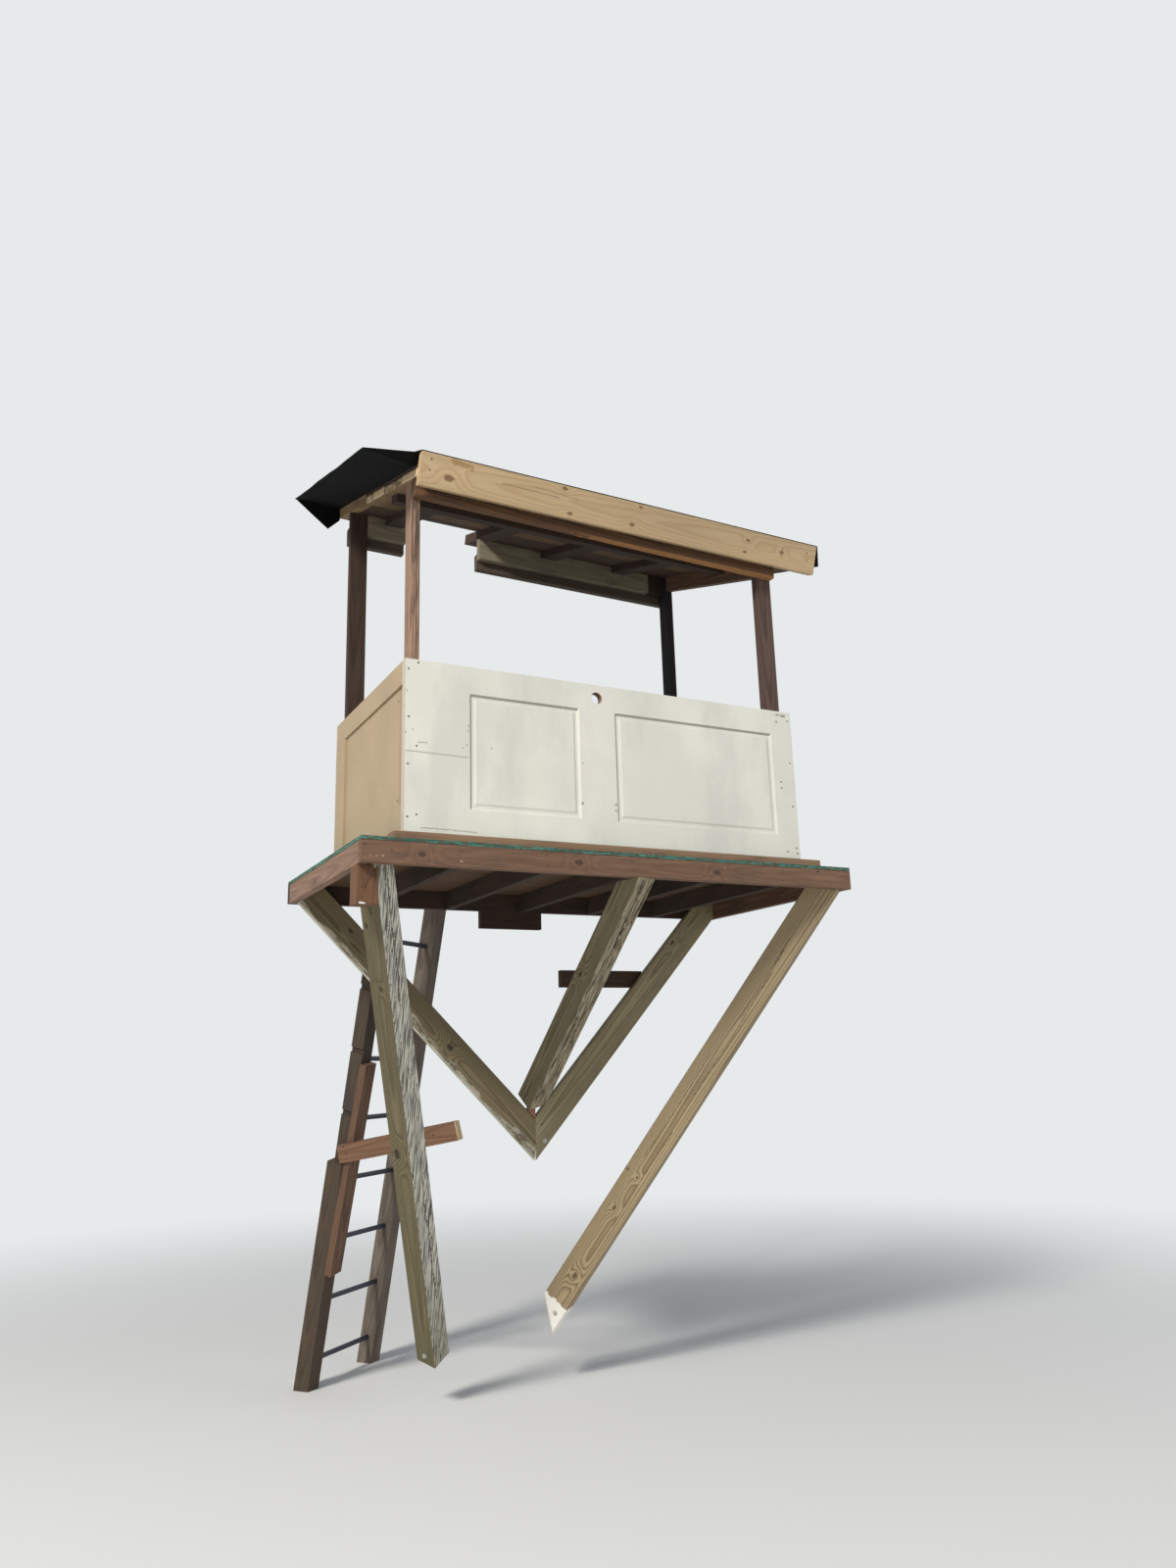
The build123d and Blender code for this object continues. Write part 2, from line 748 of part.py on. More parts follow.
# Sister: a two-by-four on the front faces of both rails, holding the splice together
with BuildPart() as sister:
    sister_plane = Plane(
        origin=ladder.from_local_coords((0, ladder_front, 0)),
        x_dir=ladder.x_dir,
        z_dir=-ladder.y_dir,
    )
    with BuildSketch(sister_plane):
        with BuildLine():
            sister_end = sister_start + sister_length
            half = stud_wide / 2
            Polyline(
                (sister_low_shift - half, sister_start),
                (sister_low_shift + half, sister_start),
                (sister_high_shift + half, sister_end),
                (sister_high_shift - half, sister_end),
                close=True,
            )
        make_face()
    extrude(amount=stud_thick)

with BuildPart() as rungs:
    for number in range(rung_count):
        start = foot + lean * (rung_first + number * rung_pitch)
        with BuildSketch(Plane(origin=start, x_dir=lean, z_dir=rung_way)):
            Circle(rung_bore / 2)
        extrude(amount=ladder_width)

write(rail_low, "ladder_rail_left_lower")
write(rail_high, "ladder_rail_left_upper")
write(rail_right, "ladder_rail_right")
write(cut_away(sister, [cross_board]), "ladder_sister")
write(cross_board, "cross_board")
write(cut_away(rungs, [rail_low, rail_high, rail_right]), "ladder_rungs")
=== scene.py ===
# %% [markdown]
# A tree house, dressed for its portrait
#
# The solids of this tree house are already made: a timber deck on long braces, walls that are
# two old house doors laid on their sides, a sloping roof and a ladder at the back. This lesson
# gives them their looks in Blender: sawn wood with rings, knots and cracks, worn paint,
# roofing sheet, and the screws, nails and bolts that hold it all together.
#
# Everything is in metres. The origin is the middle of the back face of the cleat that the
# deck hangs from, X runs along the deck, Y runs from front to back and Z is up.

# %% Load the solids
import math

import bmesh
import bpy
import numpy as np
from mathutils import Matrix, Vector


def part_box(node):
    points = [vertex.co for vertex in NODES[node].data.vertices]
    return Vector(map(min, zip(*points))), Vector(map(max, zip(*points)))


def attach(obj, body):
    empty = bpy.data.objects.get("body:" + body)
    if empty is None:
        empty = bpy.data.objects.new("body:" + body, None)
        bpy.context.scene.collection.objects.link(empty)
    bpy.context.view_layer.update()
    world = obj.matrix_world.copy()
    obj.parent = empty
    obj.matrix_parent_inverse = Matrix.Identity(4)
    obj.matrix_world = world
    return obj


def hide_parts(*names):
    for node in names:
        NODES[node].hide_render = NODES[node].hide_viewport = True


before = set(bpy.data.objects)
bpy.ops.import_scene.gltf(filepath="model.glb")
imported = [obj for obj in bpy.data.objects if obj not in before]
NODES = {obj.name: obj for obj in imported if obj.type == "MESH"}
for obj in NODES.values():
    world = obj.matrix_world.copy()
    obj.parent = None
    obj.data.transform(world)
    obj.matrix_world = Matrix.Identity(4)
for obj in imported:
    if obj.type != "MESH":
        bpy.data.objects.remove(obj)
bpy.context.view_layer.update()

print("solids loaded:", len(NODES))


# %% [markdown]
# Places on the tree house are easiest to say as a tape measure gives them. Most are in
# millimetres from the front left top corner of the deck, and those in the roof are said by
# how far they are along the eave, up the slope and through the thickness of the roof. Two
# small functions turn such places into Blender's metres.

# %% Places measured with a tape
X, Y, Z = Vector((1, 0, 0)), Vector((0, 1, 0)), Vector((0, 0, 1))
DECK_CORNER = Vector((-1.157, -1.219, 0.1505))
ROOF_CORNER = Vector((-0.942, -1.219, 1.7505))
ROOF_RISE, ROOF_FALL = math.tan(math.radians(17.6)), math.tan(math.radians(0.66))
ROOF_UP = Vector((ROOF_FALL, -ROOF_RISE, 1)).normalized()
EAVE = Vector((1, 0, -ROOF_FALL)).normalized()
SLOPE = ROOF_UP.cross(EAVE)


def deck_place(x, y, z):
    """A point in millimetres from the deck's front left top corner."""
    return DECK_CORNER + Vector((x, y, z)) / 1000


def roof_place(along, up, through):
    """A point in the roof: along the eave, up the slope, above the boards' underside."""
    return ROOF_CORNER + (EAVE * along + SLOPE * up + ROOF_UP * through) / 1000


print("roof's back right corner:", roof_place(2134, 1360, 50))


# %% [markdown]
# Both materials and Geometry Nodes are graphs. Writing a graph in Python is mostly the same
# three lines over and over: make a node, set an input, draw a link. These helpers do just
# that, so that each finish below reads almost like a formula.

# %% Make a node, and do arithmetic with nodes
def put(tree, kind, values=None, **options):
    """Add a node, set its options, and fill its inputs with numbers or links."""
    made = tree.nodes.new(kind)
    for option, value in options.items():
        setattr(made, option, value)
    for key, value in (values or {}).items():
        if isinstance(value, bpy.types.NodeSocket):
            tree.links.new(value, made.inputs[key])
        else:
            made.inputs[key].default_value = value
    return made


def calc(tree, operation, a, b=0.0, c=0.0, clamp=False):
    """One step of arithmetic on numbers."""
    values = {0: a, 1: b, 2: c}
    return put(tree, "ShaderNodeMath", values, operation=operation, use_clamp=clamp).outputs[0]


def vec(tree, operation, a, b=(0, 0, 0), scale=1.0):
    """One step of arithmetic on vectors."""
    made = put(tree, "ShaderNodeVectorMath", {0: a, 1: b, 3: scale}, operation=operation)
    gives_number = operation in ("LENGTH", "DISTANCE", "DOT_PRODUCT")
    return made.outputs["Value" if gives_number else "Vector"]


def parts(tree, place):
    """The three numbers of a vector."""
    return put(tree, "ShaderNodeSeparateXYZ", {0: place}).outputs


def joined(tree, x=0.0, y=0.0, z=0.0):
    """A vector made of three numbers."""
    return put(tree, "ShaderNodeCombineXYZ", {0: x, 1: y, 2: z}).outputs[0]


print("nodes can be made and linked")


# %% [markdown]
# Nearly every finish is built from the same three moves: a noise for something irregular, a
# soft step that turns a part of it on, and a mix that lays a colour there. The noise takes a
# stretch for each axis, because fibres, drips and brush marks are all long in one direction.

# %% Noise, soft steps and colours
def noise(tree, place, stretch, detail=2.0, rough=0.5, output="Fac"):
    """Noise whose cells are 1/stretch metres long on each axis."""
    scaled = vec(tree, "MULTIPLY", place, stretch)
    values = {"Vector": scaled, "Scale": 1.0, "Detail": detail, "Roughness": rough}
    return put(tree, "ShaderNodeTexNoise", values).outputs[output]


def ease(tree, value, low, high, start=0.0, end=1.0):
    """A soft step from start to end while the value goes from low to high."""
    values = {"Value": value, "From Min": low, "From Max": high, "To Min": start, "To Max": end}
    return put(tree, "ShaderNodeMapRange", values, interpolation_type="SMOOTHSTEP").outputs[0]


def mix(tree, share, a, b, mode="MIX"):
    """Two colours mixed."""
    values = {0: share, 6: a, 7: b}
    made = put(tree, "ShaderNodeMix", values, data_type="RGBA", blend_type=mode)
    return made.outputs[2]


def attribute(tree, name):
    """A number stored on the mesh."""
    options = {"attribute_type": "GEOMETRY", "attribute_name": name}
    return put(tree, "ShaderNodeAttribute", **options).outputs["Fac"]


def object_place(tree):
    """Object coordinates, which are places in the scene, since every piece is at the origin."""
    return put(tree, "ShaderNodeTexCoord").outputs["Object"]


def paint(red, green, blue):
    """A colour in Blender's linear values."""
    return (red, green, blue, 1.0)


print("noise, steps and colours are ready")


# %% [markdown]
# What many pieces share goes into a tree of its own, with named inputs, and is made only once.
# Blender starts such a tree in the same way for a material and for geometry, so one helper
# does for both.

# %% Start a shared tree
def start_tree(name, kind, inputs, outputs):
    """A tree with named sockets, each with its kind and perhaps a value; and its inputs."""
    tree = bpy.data.node_groups.new(name, kind)
    for way, sockets in (("OUTPUT", outputs), ("INPUT", inputs)):
        for socket_kind, label, *value in sockets:
            made = tree.interface.new_socket(
                name=label, in_out=way, socket_type="NodeSocket" + socket_kind
            )
            if value:
                made.default_value = value[0]
    return tree, tree.nodes.new("NodeGroupInput").outputs


print("shared trees can be started")


# %% [markdown]
# A board is a slice of a log, so its pattern is the slice of a solid: nested cylinders of
# pale early wood and dark late wood around the pith. Where the pith leans away from the
# board, the cylinders leave the face one by one, and that draws the long arches of flat-sawn
# lumber. A picture of wood would not agree on a board's face, edge and end, and this does.

# %% The rings of sawn wood
HALF = (0.5, 0.5, 0.5)


def through_ring(tree, given):
    """How far a place is through its ring, from 0 to 1, around a pith that wanders."""
    place = given["Vector"]
    moved = vec(tree, "ADD", place, given["Seed"])
    bent = vec(tree, "SUBTRACT", noise(tree, moved, (0.9, 6, 6), output="Color"), HALF)
    bend = vec(tree, "SCALE", bent, scale=given["Wander"])
    drift = vec(tree, "SCALE", given["Lean"], scale=parts(tree, place)[0])
    pith = vec(tree, "ADD", given["Pith"], drift)
    across = vec(tree, "ADD", vec(tree, "SUBTRACT", place, pith), bend)
    reach = vec(tree, "LENGTH", vec(tree, "MULTIPLY", across, (0, 1, 1)))
    reach = calc(tree, "ADD", reach, given["Ripple"])
    rings = calc(tree, "DIVIDE", reach, given["Ring"])
    waver = noise(tree, moved, (2, 30, 30))
    return calc(tree, "FRACT", calc(tree, "MULTIPLY_ADD", waver, 0.7, rings))


print("rings run around the pith")


# %% [markdown]
# Over the rings lie three noises, all stretched along the grain: fine fibres, broader streaks
# that make some rings bolder than others, and a slow change of tone along the board. They
# multiply the colour instead of adding to it, so that dark wood stays as lively as pale wood.
# All of it goes into one node group, because every board in the house needs it.

# %% The shared node group for sawn wood
def make_wood():
    """Rings, fibres and streaks of a board whose grain runs along X."""
    tree, given = start_tree("sawn_wood", "ShaderNodeTree", [
        ("Vector", "Vector"), ("Vector", "Seed"), ("Vector", "Pith"), ("Vector", "Lean"),
        ("Float", "Ring"), ("Float", "Wander"), ("Float", "Contrast"), ("Float", "Streaks"),
        ("Float", "Ripple"), ("Float", "Knot"),
        ("Color", "Early"), ("Color", "Late"), ("Color", "Knot colour"),
    ], [("Color", "Color"), ("Float", "Height")])
    moved = vec(tree, "ADD", given["Vector"], given["Seed"])
    turn = through_ring(tree, given)
    late = calc(tree, "SUBTRACT", ease(tree, turn, 0.3, 0.88), ease(tree, turn, 0.92, 1.0))
    fibre = noise(tree, moved, (9, 240, 240), 2, 0.6)
    streak = noise(tree, moved, (1.6, 45, 45), 3, 0.6)
    tone = noise(tree, moved, (0.8, 4, 4), 1)
    strength = calc(tree, "MULTIPLY", late, calc(tree, "MULTIPLY_ADD", streak, 1.4, 0.3))
    share = calc(tree, "MULTIPLY", strength, given["Contrast"], clamp=True)
    colour = mix(tree, share, given["Early"], given["Late"])
    swing = calc(tree, "MULTIPLY", calc(tree, "SUBTRACT", streak, 0.5), 2.0)
    swing = calc(tree, "MULTIPLY_ADD", swing, given["Streaks"], 1.0)
    swing = calc(tree, "MULTIPLY", swing, calc(tree, "MULTIPLY_ADD", fibre, 0.3, 0.85))
    swing = calc(tree, "MULTIPLY", swing, calc(tree, "MULTIPLY_ADD", tone, 0.5, 0.75))
    colour = mix(tree, 1.0, colour, joined(tree, swing, swing, swing), "MULTIPLY")
    colour = mix(tree, given["Knot"], colour, given["Knot colour"])
    height = calc(tree, "MULTIPLY_ADD", late, 0.4, calc(tree, "MULTIPLY", fibre, 0.6))
    put(tree, "NodeGroupOutput", {"Color": colour, "Height": height})
    return tree


WOOD = make_wood()
print("wood group:", len(WOOD.nodes), "nodes")


# %% [markdown]
# A knot is a dark plug that goes through the board, and the rings of the log flow around it.
# The group below gives both. The ripple is added to the distance from the pith, which bends
# the rings, and the mask colours the plug itself. Its rim is wobbled with a little noise, so
# that no two knots look stamped.

# %% The node group for a knot
def make_knot():
    """A ripple that bends the rings, and the mask of the knot itself."""
    tree, given = start_tree("knot", "ShaderNodeTree", [
        ("Vector", "Vector"), ("Vector", "Centre"), ("Vector", "Keep"), ("Float", "Radius"),
    ], [("Float", "Ripple"), ("Float", "Mask")])
    offset = vec(tree, "SUBTRACT", given["Vector"], given["Centre"])
    far = vec(tree, "LENGTH", vec(tree, "MULTIPLY", offset, given["Keep"]))
    part = calc(tree, "DIVIDE", far, given["Radius"])
    wobble = noise(tree, given["Vector"], (90, 90, 90))
    rim = calc(tree, "MULTIPLY", part, calc(tree, "MULTIPLY_ADD", wobble, 0.8, 0.6))
    mask = ease(tree, rim, 0.7, 1.1, 1.0, 0.0)
    fade = calc(tree, "POWER", calc(tree, "MULTIPLY", part, 0.36), 2.0)
    bump = calc(tree, "EXPONENT", calc(tree, "MULTIPLY", fade, -1.0))
    ripple = calc(tree, "MULTIPLY", bump, calc(tree, "MULTIPLY", given["Radius"], 1.5))
    put(tree, "NodeGroupOutput", {"Ripple": ripple, "Mask": mask})
    return tree


KNOT = make_knot()
print("knot group:", len(KNOT.nodes), "nodes")


# %% [markdown]
# Each finish is a short list of numbers: the two ring colours, how strongly the rings show,
# how dull or shiny the wood is, and how much dirt lies on it. The lumber of the deck was
# brushed with a red-brown stain, the fascia is new pine, the long braces are green-tinged
# treated pine, and the ladder is old grey-brown stock. A finish is written once here, and a
# board that differs a little changes only the numbers that differ.

# %% The finishes of the lumber
FINISHES = {
    "stain": dict(
        early=(0.150, 0.080, 0.045), late=(0.070, 0.032, 0.018), contrast=0.7, streaks=0.5,
        dirt=(0.060, 0.042, 0.032), dirty=0.45, rough=0.72, ring=0.007, wander=0.010,
    ),
    # Painted shade: stain darkened further for pieces under the deck and the roof, which stand in
    # shade.
    "dark stain in painted shade": dict(
        early=(0.045, 0.025, 0.015), late=(0.024, 0.012, 0.007), contrast=0.45, streaks=0.30,
        dirt=(0.020, 0.013, 0.010), dirty=0.45, rough=0.90, ring=0.007, wander=0.010,
    ),
    "worn stain": dict(
        early=(0.33, 0.205, 0.136), late=(0.16, 0.083, 0.052), contrast=0.65, streaks=0.45,
        dirt=(0.13, 0.07, 0.05), dirty=0.45, rough=0.75, ring=0.006, wander=0.012,
    ),
    "new pine": dict(
        early=(0.535, 0.385, 0.218), late=(0.37, 0.200, 0.085), contrast=0.34, streaks=0.12,
        dirt=(0.30, 0.21, 0.11), dirty=0.2, rough=0.62, ring=0.009, wander=0.016, plug=0.62,
    ),
    # Painted shade: pine darkened for the roof boards' underside, which is in shade.
    "old pine in painted shade": dict(
        early=(0.135, 0.075, 0.032), late=(0.073, 0.036, 0.015), contrast=0.5, streaks=0.25,
        dirt=(0.075, 0.049, 0.026), dirty=0.5, rough=0.85, ring=0.007, wander=0.012,
    ),
    "treated": dict(
        early=(0.285, 0.222, 0.118), late=(0.105, 0.072, 0.032), contrast=0.95, streaks=0.4,
        dirt=(0.12, 0.105, 0.058), dirty=0.4, rough=0.7, ring=0.0050, wander=0.009,
    ),
    "pale treated": dict(
        early=(0.43, 0.325, 0.175), late=(0.21, 0.135, 0.065), contrast=0.6, streaks=0.2,
        dirt=(0.25, 0.19, 0.11), dirty=0.3, rough=0.66, ring=0.008, wander=0.014,
    ),
    "grey": dict(
        early=(0.105, 0.076, 0.054), late=(0.048, 0.033, 0.022), contrast=0.6, streaks=0.4,
        dirt=(0.045, 0.037, 0.030), dirty=0.5, rough=0.85, ring=0.005, wander=0.010,
    ),
    # Painted shade: plywood darkened, since it is seen only from below, in the shade of the deck
    # and the roof.
    "plywood": dict(
        early=(0.060, 0.030, 0.015), late=(0.027, 0.013, 0.007), contrast=0.6, streaks=0.5,
        dirt=(0.041, 0.026, 0.018), dirty=0.5, rough=0.9, ring=0.03, wander=0.05,
    ),
    "chalky": dict(
        early=(0.26, 0.22, 0.152), late=(0.135, 0.108, 0.073), contrast=0.5, streaks=0.35,
        dirt=(0.085, 0.065, 0.048), dirty=0.5, rough=0.85, ring=0.006, wander=0.010,
    ),
}
print("finishes:", ", ".join(FINISHES))


# %% [markdown]
# The pattern has to lie along each board, whichever way the board runs. A Mapping node turns
# Blender's object coordinates into the board's own: X along its grain, Z out of its wide face
# and the origin in its middle. Every solid's object sits at the world's origin, so object
# coordinates are the same as places, and neighbouring boards get different seeds.

# %% A board's directions, and an empty material
def board_ways(along, wide):
    """The matrix that turns the scene's directions into a board's own."""
    x_way, z_way = Vector(along).normalized(), Vector(wide)
    z_way = (z_way - x_way * z_way.dot(x_way)).normalized()
    return Matrix((x_way, z_way.cross(x_way), z_way))


def new_material(name):
    """An empty material with a principled shader on its output."""
    material = bpy.data.materials.new(name)
    material.use_nodes = True
    tree = material.node_tree
    tree.nodes.clear()
    shader = put(tree, "ShaderNodeBsdfPrincipled")
    put(tree, "ShaderNodeOutputMaterial", {"Surface": shader.outputs[0]})
    return material, tree, shader


def finish_surface(tree, shader, colour, height, rough, depth):
    """Colour, roughness and bump on a shader."""
    bump = put(tree, "ShaderNodeBump", {"Strength": 0.6, "Distance": depth, "Height": height})
    tree.links.new(colour, shader.inputs["Base Color"])
    tree.links.new(bump.outputs[0], shader.inputs["Normal"])
    shader.inputs["Roughness"].default_value = rough


print("board's directions, for one along Y:", board_ways(Y, X))


# %% [markdown]
# A board's material is then a recipe: find the place in the board, bend the rings around its
# knots, fill in the wood group from the finish, lay a cloud of dirt over it, and last of all
# the layers that are this board's own. Every layer takes a colour and a height and gives both
# back changed.

# %% One material from a finish and a board's direction
def knots_at(tree, place, spots):
    """The ripples and the mask of several knots; each is (place on the board, radius, axis)."""
    ripple, mask = 0.0, 0.0
    for spot, radius, axis in spots:
        keep = {"wide": (0.6, 1, 0), "edge": (0.6, 0, 1)}[axis]
        values = {"Vector": place, "Centre": spot, "Keep": keep, "Radius": radius}
        plug = put(tree, "ShaderNodeGroup", values, node_tree=KNOT)
        ripple = calc(tree, "ADD", plug.outputs["Ripple"], ripple)
        mask = calc(tree, "MAXIMUM", plug.outputs["Mask"], mask)
    return ripple, mask


def board_material(name, finish, along, wide, middle, seed=0.0, knots=(), layers=(), **changes):
    """Sawn wood for one board. Each knot is (place in metres, radius, axis through the board)."""
    look = {
        "pith": (0, 0.01, -0.07), "lean": (0.004, 0.02), "plug": 0.45, "relief": 0.0012,
        **FINISHES[finish], **changes,
    }
    material, tree, shader = new_material(name)
    turned = board_ways(along, wide)
    place = put(tree, "ShaderNodeMapping", {
        "Vector": object_place(tree), "Rotation": turned.to_euler(),
        "Location": -(turned @ Vector(middle)),
    }, vector_type="POINT").outputs[0]
    shift = (seed * 3.7, seed * 1.9 + 0.3, seed * 2.3)
    ripple, knot = knots_at(tree, place, [
        (turned @ (Vector(point) - Vector(middle)), radius, axis) for point, radius, axis in knots
    ])
    wood = put(tree, "ShaderNodeGroup", {
        "Vector": place, "Seed": shift, "Pith": look["pith"], "Lean": (0, *look["lean"]),
        "Ring": look["ring"], "Wander": look["wander"], "Contrast": look["contrast"],
        "Streaks": look["streaks"], "Ripple": ripple, "Knot": knot,
        "Early": paint(*look["early"]), "Late": paint(*look["late"]),
        "Knot colour": paint(*[look["plug"] * c for c in look["late"]]),
    }, node_tree=WOOD)
    cloud = noise(tree, vec(tree, "ADD", place, shift), (3, 14, 14), 4, 0.62)
    low = 0.68 - 0.4 * look["dirty"]
    dirt = ease(tree, cloud, low, low + 0.22, 0.0, 0.75 * min(1.0, look["dirty"] * 1.6))
    colour = mix(tree, dirt, wood.outputs["Color"], paint(*look["dirt"]))
    height = wood.outputs["Height"]
    for layer in layers:
        colour, height = layer(tree, place, colour, height)
    finish_surface(tree, shader, colour, height, look["rough"], look["relief"])
    return material


print("a board's material is ready to make")


# %% [markdown]
# Most pieces here are sticks of wood, and the rougher ones deserve their own surface: edges
# that are worn round, faces that are not quite flat, and the long drying checks that open on
# old timber. All this could be pushed about by hand in Sculpt Mode, but it follows a rule, so
# one Geometry Nodes tree makes it. The first half of the rule is where the checks run: thin
# lines in one face, wherever a noise that is stretched along the grain crosses its middle
# value. The stretching makes them long and pointed at both ends, as real ones are.

# %% Where the drying checks run
def check_lines(tree, given, place, outward):
    """How deep a place lies in a check, from 0 to 1, on the face that has them."""
    drift = calc(tree, "MULTIPLY", parts(tree, place)[0], given["Check slant"])
    slanted = vec(tree, "ADD", place, joined(tree, y=drift))
    grain = calc(tree, "SUBTRACT", noise(tree, slanted, given["Check cells"], 1.2), 0.5)
    lines = ease(tree, calc(tree, "ABSOLUTE", grain), 0.0, given["Check width"], 1.0, 0.0)
    cover = calc(tree, "SUBTRACT", noise(tree, place, (3, 22, 22), 1), given["Check cover"])
    lines = calc(tree, "MULTIPLY", lines, ease(tree, cover, -0.05, 0.06))
    side = vec(tree, "DOT_PRODUCT", outward, given["Check side"])
    return calc(tree, "MULTIPLY", lines, ease(tree, side, 0.5, 0.9))


print("checks follow the grain")


# %% [markdown]
# The second half is the timber itself. The tree starts from a finely divided box along X. For
# every point it finds the nearest place of a slightly smaller box, and sets the point at one
# rounding's distance from there, so the edges come out round. A slow swell and the checks
# change that distance.

# %% A geometry tree for rough wood
def end_tree(tree, geometry, finish):
    """Every tree ends the same way: real geometry with its material."""
    real = put(tree, "GeometryNodeRealizeInstances", {0: geometry}).outputs[0]
    values = {"Geometry": real, "Material": finish}
    dressed = put(tree, "GeometryNodeSetMaterial", values).outputs[0]
    put(tree, "NodeGroupOutput", {0: dressed})


def make_rough_wood():
    """A box along X with worn edges, uneven faces and checks on one side."""
    tree, given = start_tree("rough_wood", "GeometryNodeTree", [
        ("Vector", "Size", (2.5, 0.11, 0.11)), ("Float", "Rounding", 0.005),
        ("Int", "Steps along", 200), ("Int", "Steps wide", 30), ("Int", "Steps thick", 30),
        ("Float", "Wave", 0.0015), ("Vector", "Check side", (0, 0, 1)),
        ("Vector", "Check cells", (15, 105, 105)), ("Float", "Check width", 0.035),
        ("Float", "Check depth", 0.004), ("Float", "Check cover", 0.45),
        ("Float", "Check slant", 0.0), ("Float", "Seed", 0.0), ("Material", "Finish"),
    ], [("Geometry", "Geometry")])
    box = put(tree, "GeometryNodeMeshCube", {
        "Size": given["Size"], "Vertices X": given["Steps along"],
        "Vertices Y": given["Steps wide"], "Vertices Z": given["Steps thick"],
    }).outputs[0]
    place = put(tree, "GeometryNodeInputPosition").outputs[0]
    round_by, seed = given["Rounding"], given["Seed"]
    core = vec(tree, "MULTIPLY", given["Size"], HALF)
    core = vec(tree, "SUBTRACT", core, joined(tree, round_by, round_by, round_by))
    low = vec(tree, "SUBTRACT", (0, 0, 0), core)
    inner = vec(tree, "MINIMUM", vec(tree, "MAXIMUM", place, low), core)
    outward = vec(tree, "NORMALIZE", vec(tree, "SUBTRACT", place, inner))
    shift = vec(tree, "MULTIPLY", joined(tree, seed, seed, seed), (3.7, 1.9, 2.3))
    moved = vec(tree, "ADD", place, shift)
    swell = calc(tree, "SUBTRACT", noise(tree, moved, (1.5, 11, 11), 2), 0.5)
    swell = calc(tree, "MULTIPLY", calc(tree, "MULTIPLY", swell, 2.0), given["Wave"])
    check = check_lines(tree, given, moved, outward)
    values = {"Geometry": box, "Name": "check", "Value": check}
    kinds = {"data_type": "FLOAT", "domain": "POINT"}
    marked = put(tree, "GeometryNodeStoreNamedAttribute", values, **kinds).outputs[0]
    sunk = calc(tree, "MULTIPLY", check, given["Check depth"])
    lift = calc(tree, "SUBTRACT", calc(tree, "ADD", round_by, swell), sunk)
    worn = vec(tree, "ADD", inner, vec(tree, "SCALE", outward, scale=lift))
    values = {"Geometry": marked, "Position": worn}
    shaped = put(tree, "GeometryNodeSetPosition", values).outputs[0]
    smooth = put(tree, "GeometryNodeSetShadeSmooth", {"Geometry": shaped}).outputs[0]
    end_tree(tree, smooth, given["Finish"])
    return tree


ROUGH_WOOD = make_rough_wood()
print("rough wood tree:", len(ROUGH_WOOD.nodes), "nodes")


# %% [markdown]
# A tree does nothing until an object carries it. The next helper hangs a tree on an empty
# mesh, fills in its inputs, lets Blender work it out once, and keeps the result as a plain
# mesh at the origin. Its place is then put into the mesh by one matrix, whose columns are the
# directions of the piece's length, width and depth.

# %% Run a tree once, and lay a piece in its place
def link(piece):
    """Put an object in the scene."""
    bpy.context.scene.collection.objects.link(piece)
    return piece


def make_plain(piece):
    """Work out a piece's modifiers and keep the result as a plain mesh."""
    piece.update_tag()
    graph = bpy.context.evaluated_depsgraph_get()
    result = bpy.data.meshes.new_from_object(piece.evaluated_get(graph))
    piece.modifiers.clear()
    piece.data = result
    return piece


def grow(name, tree, values, base=None):
    """Run a geometry tree once and keep its result as a plain mesh."""
    piece = link(bpy.data.objects.new(name, base or bpy.data.meshes.new(name)))
    modifier = piece.modifiers.new("grow", "NODES")
    modifier.node_group = tree
    for item in tree.interface.items_tree:
        if item.in_out == "INPUT" and item.name in values:
            modifier[item.identifier] = values[item.name]
    return make_plain(piece)


def lay(piece, middle, *ways):
    """Move a piece's mesh from the origin to its middle and its three directions."""
    turned = Matrix(ways).transposed().to_4x4()
    piece.data.transform(Matrix.Translation(middle) @ turned)
    return piece


def belongs(piece, node=None):
    """Ride the one body, and stand for a solid if it has one."""
    if node:
        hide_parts(node)
    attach(piece, "root")
    print(piece.name, len(piece.data.polygons), "faces")
    return piece


print("ready to grow pieces and lay them in place")


# %% [markdown]
# Pieces then have to fit each other. A carpenter's way is to hold a brace up to the rim and
# saw away what is in the way, and Boolean modifiers do the same: the solids themselves are
# the saw, so every joint closes exactly. A solid's mesh is loose triangles, so a copy of it is
# merged first, or the Boolean wouldn't know its inside.

# %% Saw a piece to fit
def as_mesh(shape, name="cutter"):
    """A mesh from an edited shape."""
    mesh = bpy.data.meshes.new(name)
    shape.to_mesh(mesh)
    shape.free()
    return mesh


def box_mesh(low, high):
    """A closed box between two corners, as a cutter."""
    low, high = Vector(low), Vector(high)
    shape = bmesh.new()
    bmesh.ops.create_cube(shape, size=1)
    shape.transform(Matrix.Translation((low + high) / 2) @ Matrix.Diagonal((*(high - low), 1)))
    return as_mesh(shape)


def solid_copy(name):
    """A watertight copy of a CAD solid's mesh, to saw with."""
    shape = bmesh.new()
    shape.from_mesh(NODES[name].data)
    bmesh.ops.remove_doubles(shape, verts=shape.verts, dist=1e-5)
    return as_mesh(shape)


def saw(piece, cutters, operation="DIFFERENCE"):
    """Cut away what is inside the cutters, or with INTERSECT what is outside."""
    tools = [link(bpy.data.objects.new("cutter", mesh)) for mesh in cutters]
    for tool in tools:
        cut = piece.modifiers.new("cut", "BOOLEAN")
        cut.operation, cut.solver, cut.object = operation, "EXACT", tool
    make_plain(piece)
    for tool in tools:
        bpy.data.objects.remove(tool)
    return piece


print("ready to saw")


# %% [markdown]
# Use leaves marks at places of its own: a scratch here, a chip there, a line where two boards
# of a door meet. Noise can't put them where they belong, so a mark is a short segment between
# two points, and the shader measures how far each spot of the surface is from it. With a
# ragged radius the same few nodes draw a scratch, a crack, a dent, a nail hole or a stain.

